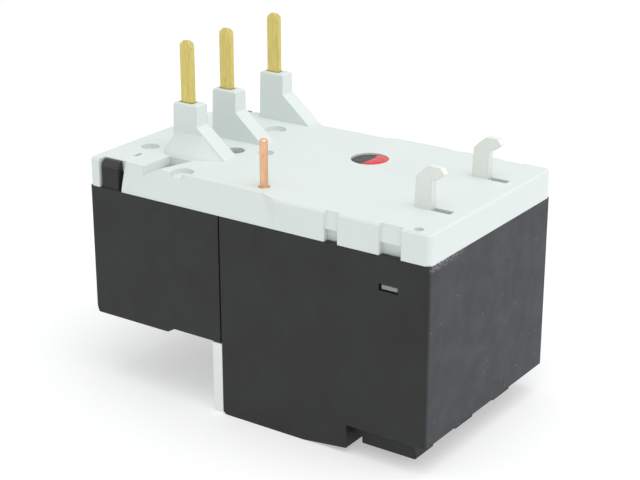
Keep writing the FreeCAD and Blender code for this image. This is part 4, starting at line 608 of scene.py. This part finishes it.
def make_screw_face():
    """The screw's grainy face, just under the plate."""
    middle = (screw_low + screw_high) / 2
    turns = [2 * math.pi * k / FACE_POINTS for k in range(FACE_POINTS)]
    bm = bmesh.new()
    rings = []
    for reach, z in ((drop_radius, drop_low.z - FACE_TUCK), (drop_radius, SCREW_FACE - FACE_ROUNDING),
                     (drop_radius - FACE_ROUNDING, SCREW_FACE)):
        rings.append([bm.verts.new((middle.x + reach * math.cos(turn), middle.y + reach * math.sin(turn), z))
                      for turn in turns])
    skin(bm, rings)
    bm.faces.new(rings[0][::-1])
    bm.faces.new(rings[-1])
    return finished("screw_face", bm, SCREW_BLACK)


screw_face = make_screw_face()
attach(screw_face, "root")
lacquer = make_lacquer()
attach(lacquer, "root")
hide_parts("sealing_lacquer")
print("the drop has", len(lacquer.data.polygons), "faces")

# %% [markdown]
# ## The first tower's flared foot
# The outer face of the tower nearest the link wire runs out into the plate as a sloped apron, which also
# turns round its front. It is a sheet of points: each station along the foot has the same number of points,
# the apron reaches out further the lower it gets, and it fades to nothing at both ends.

# %% The first tower's flared foot
blade_low, blade_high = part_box("contact_blade_1")
TOWER_HALF_WIDTH = 3.35 / 2 * MM
TOWER_DRAFT = 0.035
TOWER_FRONT_Y = (blade_low.y + blade_high.y) / 2 - 2.45 * MM
TOWER_BACK_Y = TOWER_FRONT_Y + 5.7 * MM
RAMP_HEIGHT = 5.7 * MM
RAMP_LENGTH = 6.9 * MM
APRON_HEIGHT = 4.2 * MM
APRON_SPREAD = 2.9 * MM
APRON_LEDGE = 0.12 * MM
APRON_CURVE = 1.35
TUCK = 0.5 * MM
UNDER_RAMP = 0.12 * MM
RAMP_SHARE, TURN_FADE = 0.94, 0.35
RAMP_STEPS, TURN_STEPS, FRONT_STEPS, SLOPE_STEPS = 9, 8, 6, 6


def apron_stations():
    """Where the foot starts, which way it faces, how high it is and how far it spreads, back to front."""
    x = (blade_low.x + blade_high.x) / 2
    front_y = TOWER_FRONT_Y + TUCK
    stations = []
    for k in range(RAMP_STEPS + 1):
        share = k / RAMP_STEPS
        y = TOWER_BACK_Y + RAMP_LENGTH * RAMP_SHARE * (1 - share)
        ramp = RAMP_HEIGHT * (1 - (y - TOWER_BACK_Y) / RAMP_LENGTH)
        height = min(APRON_HEIGHT, max(ramp - UNDER_RAMP, UNDER_RAMP))
        stations.append(((x, y), (1, 0), height, math.sin(share * math.pi / 2)))
    stations.append(((x, front_y), (1, 0), APRON_HEIGHT, 1.0))
    for k in range(1, TURN_STEPS + 1):
        turn = k / TURN_STEPS * math.pi / 2
        facing = (math.cos(turn), -math.sin(turn))
        stations.append(((x, front_y), facing, APRON_HEIGHT, 1 - TURN_FADE * k / TURN_STEPS))
    for k in range(1, FRONT_STEPS + 1):
        place = (x - 2 * TOWER_HALF_WIDTH * k / FRONT_STEPS, front_y)
        stations.append((place, (0, -1), APRON_HEIGHT, (1 - TURN_FADE) * (1 - k / FRONT_STEPS)))
    return stations


def apron_section(bm, place, facing, height, spread):
    """The points of one station, from inside the tower over the ledge to under the plate's face."""
    def point(out, z):
        side = TOWER_HALF_WIDTH + TOWER_DRAFT * (plate_high.z - deck_z - z)
        x, y = side * facing[0], TUCK * facing[1]
        return bm.verts.new((place[0] + x + facing[0] * out, place[1] + y + facing[1] * out, deck_z + z))

    section = [point(-TUCK, height), point(APRON_LEDGE * spread, height)]
    for k in range(1, SLOPE_STEPS + 1):
        low = k / SLOPE_STEPS
        reach = APRON_LEDGE + (APRON_SPREAD - APRON_LEDGE) * low ** APRON_CURVE
        section.append(point(reach * spread, height * (1 - low)))
    return section + [point(APRON_SPREAD * spread, -TUCK / 2), point(-TUCK, -TUCK / 2)]


def make_apron():
    """The apron as a closed skin between its stations."""
    bm = bmesh.new()
    sections = [apron_section(bm, *station) for station in apron_stations()]
    skin(bm, sections)
    bm.faces.new(sections[0])
    bm.faces.new(sections[-1][::-1])
    bmesh.ops.recalc_face_normals(bm, faces=bm.faces)
    return finished("tower_apron", bm, WHITE)


apron = make_apron()
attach(apron, "root")
print("the apron is", APRON_HEIGHT / MM, "mm high")

# %% [markdown]
# ## Small ends
# The front shell's two corner posts end almost flush with the plate, with a chamfer on their outer side. The
# three feet are deeper than the plain solids, and the near one is longer than the others. In the window of
# the rear shell the end of the trip slide shows as a pale block, which draws back when the slide moves on a
# trip. Each is an outline drawn through a length.


# %% Small ends
def prism(name, outline, axis, start, end, material, bevel):
    """An outline in the two other axes, drawn through along one axis, with softened edges."""
    bm = bmesh.new()
    rings = []
    for place in (start, end):
        ring = []
        for a, b in outline:
            point = [a, b]
            point.insert(axis, place)
            ring.append(bm.verts.new(point))
        rings.append(ring)
    skin(bm, rings)
    bm.faces.new(rings[0])
    bm.faces.new(rings[1][::-1])
    bmesh.ops.recalc_face_normals(bm, faces=bm.faces)
    bmesh.ops.bevel(bm, geom=bm.edges[:], offset=bevel, segments=2, affect="EDGES")
    return finished(name, bm, material, smooth=False)


front_low, front_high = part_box("front_housing")
slide_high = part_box("trip_slide")[1]
POST_OUTER = front_high.x - 0.29 * MM
POST_THICKNESS = 1.5 * MM
POST_START = front_low.y + 3.09 * MM
POST_WIDTH = 4.12 * MM
POST_TOP = deck_z - 0.1 * MM
POST_CHAMFER = 0.8 * MM
POST_TUCK = 1 * MM
FOOT_X = 17.0 * MM
FOOT_HALF_WIDTH = 3.24 * MM
FOOT_BACK = rear_high.y - 3.41 * MM
FOOT_PITCH = 14.7 * MM
FOOT_LENGTHS = (11.7 * MM, 8 * MM, 8 * MM)
FOOT_LOW, FOOT_HIGH = 1.8 * MM, 3.6 * MM
WINDOW_MIDDLE_Y = rear_high.y - 8.45 * MM
WINDOW_MIDDLE_Z = 35.2 * MM
TIP_HALF_LENGTH = 1.75 * MM
TIP_HALF_HEIGHT = 0.5 * MM
TIP_OUTER = rear_high.x - 0.45 * MM
TIP_ROOT = slide_high.x - 0.4 * MM


def box_outline(a0, a1, b0, b1):
    """The four corners of a rectangle."""
    return [(a0, b0), (a1, b0), (a1, b1), (a0, b1)]


def post_outline(side):
    """The chamfered top of the corner post on one side (1 or -1)."""
    inner, low = POST_OUTER - POST_THICKNESS, front_high.z - POST_TUCK
    points = [(inner, low), (POST_OUTER, low), (POST_OUTER, POST_TOP - POST_CHAMFER),
              (POST_OUTER - POST_CHAMFER, POST_TOP), (inner, POST_TOP)]
    return [(side * x, z) for x, z in points]


ends = []
for name, side in (("post_cap_right", 1), ("post_cap_left", -1)):
    cap = prism(name, post_outline(side), 1, POST_START, POST_START + POST_WIDTH, POST_BLACK_PAINTED_LIGHTER, bevel=0.06 * MM)
    ends.append((cap, "root", "black_plastic"))
outline = box_outline(WINDOW_MIDDLE_Y - TIP_HALF_LENGTH, WINDOW_MIDDLE_Y + TIP_HALF_LENGTH,
                      WINDOW_MIDDLE_Z - TIP_HALF_HEIGHT, WINDOW_MIDDLE_Z + TIP_HALF_HEIGHT)
tip = prism("slide_tip", outline, 0, TIP_ROOT, TIP_OUTER, SLIDE, bevel=0.1 * MM)
ends.append((tip, "trip_slide", "slide_plastic"))
for k, length in enumerate(FOOT_LENGTHS):
    middle = FOOT_X - FOOT_PITCH * k
    outline = box_outline(middle - FOOT_HALF_WIDTH, middle + FOOT_HALF_WIDTH, FOOT_LOW, FOOT_HIGH)
    foot = prism(f"foot_{k + 1}", outline, 1, FOOT_BACK - length, FOOT_BACK, REAR_BLACK, bevel=0.15 * MM)
    ends.append((foot, "root", "black_plastic"))
for piece, body, slot in ends:
    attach(piece, body)
    print(piece.name, "rides on", body)

# %% [markdown]
# ## Node trees for what repeats
# Screws and springs are the same few steps over and over, which is what Geometry Nodes are good at. The
# class below builds a tree with named inputs and then runs it once: the sizes are set by each socket's
# identifier before the first evaluation, and the result is kept as a plain mesh. The function after it lets
# such a piece take the place of the frame's plain one.


# %% Node tree helpers
class Recipe:
    """A Geometry Nodes tree with named inputs that ends in real, finished geometry."""

    def __init__(self, name, material, **sizes):
        self.tree = bpy.data.node_groups.new(name, "GeometryNodeTree")
        self.sizes = sizes
        kinds = {int: "NodeSocketInt", float: "NodeSocketFloat", tuple: "NodeSocketVector"}
        for label, value in sizes.items():
            self.tree.interface.new_socket(label, in_out="INPUT", socket_type=kinds[type(value)])
        self.tree.interface.new_socket("Geometry", in_out="OUTPUT", socket_type="NodeSocketGeometry")
        self.inputs = self.tree.nodes.new("NodeGroupInput").outputs
        self.material = material

    def node(self, kind, outlet=0, settings=None, **sockets):
        """A node with its settings and its sockets filled; returns one of its outputs.

        A kind with a colon in front is a full type name. Any other gets GeometryNode before it.
        """
        made = self.tree.nodes.new("GeometryNode" + kind if ":" not in kind else kind.replace(":", ""))
        for name, value in (settings or {}).items():
            setattr(made, name, value)
        for label, source in sockets.items():
            socket = made.inputs[label.replace("_", " ")]
            for one in source if isinstance(source, list) else [source]:
                connect(self.tree, socket, one)
        return made.outputs[outlet]

    def maths(self, operation, a, b):
        """One arithmetic step."""
        made = self.tree.nodes.new("ShaderNodeMath")
        made.operation = operation
        for socket, source in zip(made.inputs, (a, b)):
            connect(self.tree, socket, source)
        return made.outputs[0]

    def times(self, value, factor):
        """A value made larger or smaller by a factor."""
        return self.maths("MULTIPLY", value, factor)

    def vector(self, x=0.0, y=0.0, z=0.0):
        """Three numbers as one vector."""
        return self.node(":ShaderNodeCombineXYZ", X=x, Y=y, Z=z)

    def grow(self, name, geometry):
        """Ends the tree, runs it once and keeps its result as a plain mesh."""
        real = self.node("RealizeInstances", Geometry=geometry)
        dressed = self.node("SetMaterial", Geometry=real, Material=self.material)
        self.tree.links.new(dressed, self.tree.nodes.new("NodeGroupOutput").inputs[0])
        piece = bpy.data.objects.new(name, bpy.data.meshes.new(name))
        scene.collection.objects.link(piece)
        modifier = piece.modifiers.new("recipe", "NODES")
        modifier.node_group = self.tree
        for item in self.tree.interface.items_tree:
            if item.in_out == "INPUT":
                modifier[item.identifier] = self.sizes[item.name]
        graph = bpy.context.evaluated_depsgraph_get()
        mesh = bpy.data.meshes.new_from_object(piece.evaluated_get(graph), depsgraph=graph)
        piece.modifiers.remove(modifier)
        piece.data = mesh
        return piece


def settle(piece, body, slot, *nodes):
    """Lets a finished piece ride on its body, in place of the frame's plain node."""
    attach(piece, body)
    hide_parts(*nodes)
    print(piece.name, "has", len(piece.data.polygons), "faces")


# %% [markdown]
# ## Terminal screws
# Eight screws clamp the cables: four large ones low down and four smaller ones in the nose. Each head takes
# a flat or a cross-head driver, so two bars are cut from it. The thread is a thin wire wound round the
# shank. A row of points carries the copies, and a random turn from a fixed seed makes no two slots line up.
# The shares below are parts of the head's height, the head's radius or the shank's radius.


# %% Terminal screws
SCREWS_IN_ROW = 4
SLOT_WIDTH = 0.7 * MM
THREAD_PITCH = 0.7 * MM
TURN_SEED = 11
RIM_FROM, RIM_TAPER = 0.45, 0.1
SLOT_DEPTH, SLOT_LENGTH, CROSS_LENGTH = 0.9, 3.0, 1.15
CORE_RADIUS, WINDING_RADIUS, RIDGE_RADIUS = 0.9, 0.93, 0.07


def cheese_head(recipe):
    """A flat cylinder with a chamfered rim and a combined slot and cross."""
    size = recipe.inputs
    head = recipe.node("MeshCylinder", Vertices=44, Side_Segments=8, Radius=size["Head radius"],
                       Depth=size["Head height"])
    high = recipe.node(":ShaderNodeSeparateXYZ", outlet=2, Vector=recipe.node("InputPosition"))
    top = recipe.maths("GREATER_THAN", high, recipe.times(size["Head height"], RIM_FROM))
    inset = recipe.tree.nodes.new("ShaderNodeVectorMath")
    inset.operation = "MULTIPLY"
    connect(recipe.tree, inset.inputs[0], recipe.node("InputPosition"))
    connect(recipe.tree, inset.inputs[1], (-RIM_TAPER, -RIM_TAPER, 0))
    head = recipe.node("SetPosition", Geometry=head, Selection=top, Offset=inset.outputs[0])
    deep = recipe.times(size["Head height"], SLOT_DEPTH)
    length = recipe.times(size["Head radius"], SLOT_LENGTH)
    cross = recipe.times(size["Head radius"], CROSS_LENGTH)
    rise = recipe.vector(z=recipe.times(size["Head height"], 0.5))
    bars = [recipe.node("MeshCube", Size=recipe.vector(length, size["Slot width"], deep)),
            recipe.node("MeshCube", Size=recipe.vector(size["Slot width"], cross, deep))]
    bars = [recipe.node("Transform", Geometry=bar, Translation=rise) for bar in bars]
    cut = recipe.node("MeshBoolean", settings={"operation": "DIFFERENCE"}, Mesh_1=head, Mesh_2=bars)
    drop = recipe.vector(z=recipe.times(size["Head height"], -0.5))
    return recipe.node("Transform", Geometry=cut, Translation=drop)


def threaded_shank(recipe):
    """A cylinder wound with a thin wire for its thread."""
    size = recipe.inputs
    long = recipe.maths("SUBTRACT", size["Length"], size["Head height"])
    core = recipe.node("MeshCylinder", Vertices=32, Radius=recipe.times(size["Shank radius"], CORE_RADIUS),
                       Depth=long)
    middle = recipe.maths("ADD", size["Head height"], recipe.times(long, 0.5))
    drop = recipe.vector(z=recipe.times(middle, -1.0))
    core = recipe.node("Transform", Geometry=core, Translation=drop)
    reach = recipe.times(size["Shank radius"], WINDING_RADIUS)
    winding = recipe.node("CurveSpiral", Resolution=20, Rotations=recipe.maths("DIVIDE", long, THREAD_PITCH),
                          Start_Radius=reach, End_Radius=reach, Height=recipe.times(long, -1.0))
    ridge = recipe.node("CurvePrimitiveCircle", Resolution=6,
                        Radius=recipe.times(size["Shank radius"], RIDGE_RADIUS))
    thread = recipe.node("CurveToMesh", Curve=winding, Profile_Curve=ridge, Fill_Caps=True)
    start = recipe.vector(z=recipe.times(size["Head height"], -1.0))
    return [core, recipe.node("Transform", Geometry=thread, Translation=start)]


def screw_row(name, node, head_radius, shank_radius, head_height):
    """A row of equal screws where the frame has its plain ones."""
    low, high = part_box(node)
    pitch = (high.x - low.x - 2 * head_radius) / (SCREWS_IN_ROW - 1)
    first = (low.x + head_radius, low.y, (low.z + high.z) / 2)
    sizes = {"Count": SCREWS_IN_ROW, "First": first, "Pitch": pitch, "Head radius": head_radius,
             "Head height": head_height, "Shank radius": shank_radius, "Length": high.y - low.y,
             "Slot width": SLOT_WIDTH}
    recipe = Recipe(name, ZINC, **sizes)
    row = recipe.node("MeshLine", Count=recipe.inputs["Count"], Start_Location=recipe.inputs["First"],
                      Offset=recipe.vector(x=recipe.inputs["Pitch"]))
    turn = recipe.node(":FunctionNodeRandomValue", outlet=1, Min=0.0, Max=math.pi, Seed=TURN_SEED)
    screw = recipe.node("JoinGeometry", Geometry=[cheese_head(recipe)] + threaded_shank(recipe))
    tilt = recipe.node(":FunctionNodeEulerToRotation", Euler=recipe.vector(math.pi / 2, turn, 0.0))
    placed = recipe.node("InstanceOnPoints", Points=row, Instance=screw, Rotation=tilt)
    return recipe.grow(name, placed)


main_row = screw_row("main_screws", "main_terminal_screws", head_radius=2.8 * MM, shank_radius=1.75 * MM,
                     head_height=2.0 * MM)
settle(main_row, "root", "steel", "main_terminal_screws")
aux_row = screw_row("aux_screws", "aux_terminal_screws", head_radius=2.5 * MM, shank_radius=1.5 * MM,
                    head_height=1.8 * MM)
settle(aux_row, "root", "steel", "aux_terminal_screws")

# %% [markdown]
# ## Springs
# Three small compression springs return the two buttons and throw the contact carrier. A spring is a circle
# swept along a spiral. Each button spring takes the place of the frame's plain one and keeps a mesh of its
# own.


# %% Springs
BUTTON_TURNS, THROW_TURNS = 5, 4


def spring(name, low, high, axis, wire, turns):
    """A round-wire spring that fills a box along one axis."""
    length = high[axis] - low[axis]
    mean = (high[(axis + 1) % 3] - low[(axis + 1) % 3]) / 2 - wire / 2
    start = [(a + b) / 2 for a, b in zip(low, high)]
    start[axis] = low[axis] + wire / 2
    turn = {0: (0.0, math.pi / 2, 0.0), 1: (-math.pi / 2, 0.0, 0.0)}[axis]
    recipe = Recipe(name, SPRING, Start=tuple(start), Turn=turn, Length=length - wire, Turns=float(turns),
                    **{"Mean radius": mean, "Wire radius": wire / 2})
    size = recipe.inputs
    path = recipe.node("CurveSpiral", Resolution=28, Rotations=size["Turns"], Height=size["Length"],
                       Start_Radius=size["Mean radius"], End_Radius=size["Mean radius"])
    wire_ring = recipe.node("CurvePrimitiveCircle", Resolution=12, Radius=size["Wire radius"])
    coil = recipe.node("CurveToMesh", Curve=path, Profile_Curve=wire_ring, Fill_Caps=True)
    tilt = recipe.node(":FunctionNodeEulerToRotation", Euler=size["Turn"])
    placed = recipe.node("Transform", Geometry=coil, Translation=size["Start"], Rotation=tilt)
    return recipe.grow(name, placed)


def button_spring(name, node, wire):
    """A button's return spring in place of the frame's plain one, with a mesh of its own."""
    low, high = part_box(node)
    piece = spring(name, low, high, axis=1, wire=wire, turns=BUTTON_TURNS)
    settle(piece, "root", "spring_steel", node)
    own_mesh(piece)


button_spring("reset_return_spring", "reset_spring", wire=0.5 * MM)
button_spring("stop_return_spring", "stop_spring", wire=0.4 * MM)
throw = spring("throw_spring", *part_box("carrier_spring"), axis=0, wire=0.4 * MM, turns=THROW_TURNS)
settle(throw, "root", "spring_steel", "carrier_spring")

# %% [markdown]
# ## The dial's scale
# A ring of short ticks stands round the current dial. The ticks are copies of one bar on points along an
# arc, a few hundredths of a millimetre proud of the face, as printed ink is.

# %% The dial's scale
dial_low, dial_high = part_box("current_dial")
fascia_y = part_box("front_fascia")[0].y
dial_x, dial_z = (dial_low.x + dial_high.x) / 2, (dial_low.z + dial_high.z) / 2
dial_r = (dial_high.x - dial_low.x) / 2
TICK_COUNT, TICK_SPAN = 13, math.radians(270)
TICK_GAP, TICK_LENGTH, TICK_WIDTH = 0.62 * MM, 0.55 * MM, 0.16 * MM
INK_HEIGHT = 0.03 * MM


def scale_ticks():
    """Ticks on an arc round the dial."""
    recipe = Recipe("scale ticks", INK, Count=TICK_COUNT, Centre=(dial_x, fascia_y, dial_z),
                    Radius=dial_r + TICK_GAP, Span=TICK_SPAN, Long=TICK_LENGTH, Wide=TICK_WIDTH,
                    Proud=INK_HEIGHT)
    size = recipe.inputs
    points = recipe.node("Points", Count=size["Count"])
    step = recipe.maths("DIVIDE", recipe.node("InputIndex"), recipe.maths("SUBTRACT", size["Count"], 1.0))
    angle = recipe.maths("MULTIPLY", recipe.maths("SUBTRACT", step, 0.5), size["Span"])
    x = recipe.maths("MULTIPLY", recipe.maths("SINE", angle, 0.0), size["Radius"])
    z = recipe.maths("MULTIPLY", recipe.maths("COSINE", angle, 0.0), size["Radius"])
    placed = recipe.node("SetPosition", Geometry=points, Position=recipe.vector(x, 0.0, z))
    bar = recipe.node("MeshCube", Size=recipe.vector(size["Wide"], recipe.times(size["Proud"], 2.0),
                                                     size["Long"]))
    tilt = recipe.node(":FunctionNodeEulerToRotation", Euler=recipe.vector(0.0, angle, 0.0))
    ring = recipe.node("InstanceOnPoints", Points=placed, Instance=bar, Rotation=tilt)
    return recipe.grow("scale_ticks", recipe.node("Transform", Geometry=ring, Translation=size["Centre"]))


ticks = scale_ticks()
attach(ticks, "root")
print(ticks.name, "has", len(ticks.data.polygons), "faces")

# %% [markdown]
# ## Background
# The background is plain white. Rays that come straight from the camera, or off gloss, find a white world,
# while the light that falls on the relay is a little dimmer, so that no pale face burns out.


# %% Background
WHITE_STRENGTH = 1.0
AMBIENT_STRENGTH = 0.66
AMBIENT_COLOUR = (0.98, 1.0, 1.0, 1)


def white_for_camera(tree, shader_for_others):
    """Mixes in plain white for camera, gloss and transmission rays."""
    path = tree.nodes.new("ShaderNodeLightPath")
    seen = path.outputs["Is Camera Ray"]
    for kind in ("Is Glossy Ray", "Is Transmission Ray"):
        either = tree.nodes.new("ShaderNodeMath")
        either.operation = "MAXIMUM"
        tree.links.new(seen, either.inputs[0])
        tree.links.new(path.outputs[kind], either.inputs[1])
        seen = either.outputs[0]
    white = tree.nodes.new("ShaderNodeEmission")
    white.inputs["Strength"].default_value = WHITE_STRENGTH
    mix = tree.nodes.new("ShaderNodeMixShader")
    for socket, source in zip(mix.inputs, (seen, shader_for_others, white.outputs[0])):
        tree.links.new(source, socket)
    return mix.outputs[0]


def make_world():
    """A white background whose light on the relay is dimmer than it looks."""
    world = bpy.data.worlds.new("studio")
    world.use_nodes = True
    tree = world.node_tree
    ambient = tree.nodes["Background"]
    ambient.inputs["Color"].default_value = AMBIENT_COLOUR
    ambient.inputs["Strength"].default_value = AMBIENT_STRENGTH
    tree.links.new(white_for_camera(tree, ambient.outputs[0]), tree.nodes["World Output"].inputs[0])
    scene.world = world


make_world()
print("the world lights the relay at", AMBIENT_STRENGTH)

# %% [markdown]
# ## Floor
# The relay stands on a wide pale sheet that keeps its shadow. The sheet also glows a little, so that it reads
# as white as the background, and it lifts the relay's lower faces as a bright table does.


# %% Floor
SHEET_RADIUS, SHEET_POINTS = 2.5, 64
SHEET_GREY, SHEET_GLOW = 0.65, 0.42
SHEET_ROUGHNESS, SHEET_GLOSS = 0.9, 0.1


def make_floor():
    """A wide pale disc that keeps the relay's shadow."""
    bm = bmesh.new()
    bmesh.ops.create_circle(bm, cap_ends=True, radius=SHEET_RADIUS, segments=SHEET_POINTS)
    material = bpy.data.materials.new("studio floor")
    material.use_nodes = True
    tree = material.node_tree
    sheet = tree.nodes["Principled BSDF"]
    sheet.inputs["Base Color"].default_value = grey(SHEET_GREY)
    sheet.inputs["Roughness"].default_value = SHEET_ROUGHNESS
    sheet.inputs["Specular IOR Level"].default_value = SHEET_GLOSS
    glow = tree.nodes.new("ShaderNodeEmission")
    glow.inputs["Strength"].default_value = SHEET_GLOW
    both = tree.nodes.new("ShaderNodeAddShader")
    tree.links.new(sheet.outputs[0], both.inputs[0])
    tree.links.new(glow.outputs[0], both.inputs[1])
    tree.links.new(both.outputs[0], tree.nodes["Material Output"].inputs[0])
    return finished("floor", bm, material, smooth=False)


floor = make_floor()
print("the sheet is", 2 * SHEET_RADIUS, "m across")

# %% [markdown]
# ## Lamps
# Two broad soft boxes, one above and one behind, give the pale faces their gentle steps of grey. Each is
# aimed as the camera is.


# %% Lamps
LAMP_AIM = Vector((0, 0, 0.03))


def lamp(name, place, size, watts):
    """A square soft box."""
    light = bpy.data.objects.new(name, bpy.data.lights.new(name, "AREA"))
    light.data.size = size
    light.data.energy = watts
    light.location = place
    light.rotation_mode = "QUATERNION"
    light.rotation_quaternion = (LAMP_AIM - Vector(place)).to_track_quat("-Z", "Y")
    scene.collection.objects.link(light)
    print(name, "gives", watts, "W")


lamp("top softbox", (0.10, 0.20, 0.75), size=0.7, watts=2.75)
lamp("back softbox", (-0.25, 0.75, 0.30), size=0.6, watts=0.95)
scene.view_settings.view_transform = "Standard"

# %% [markdown]
# ## Closing
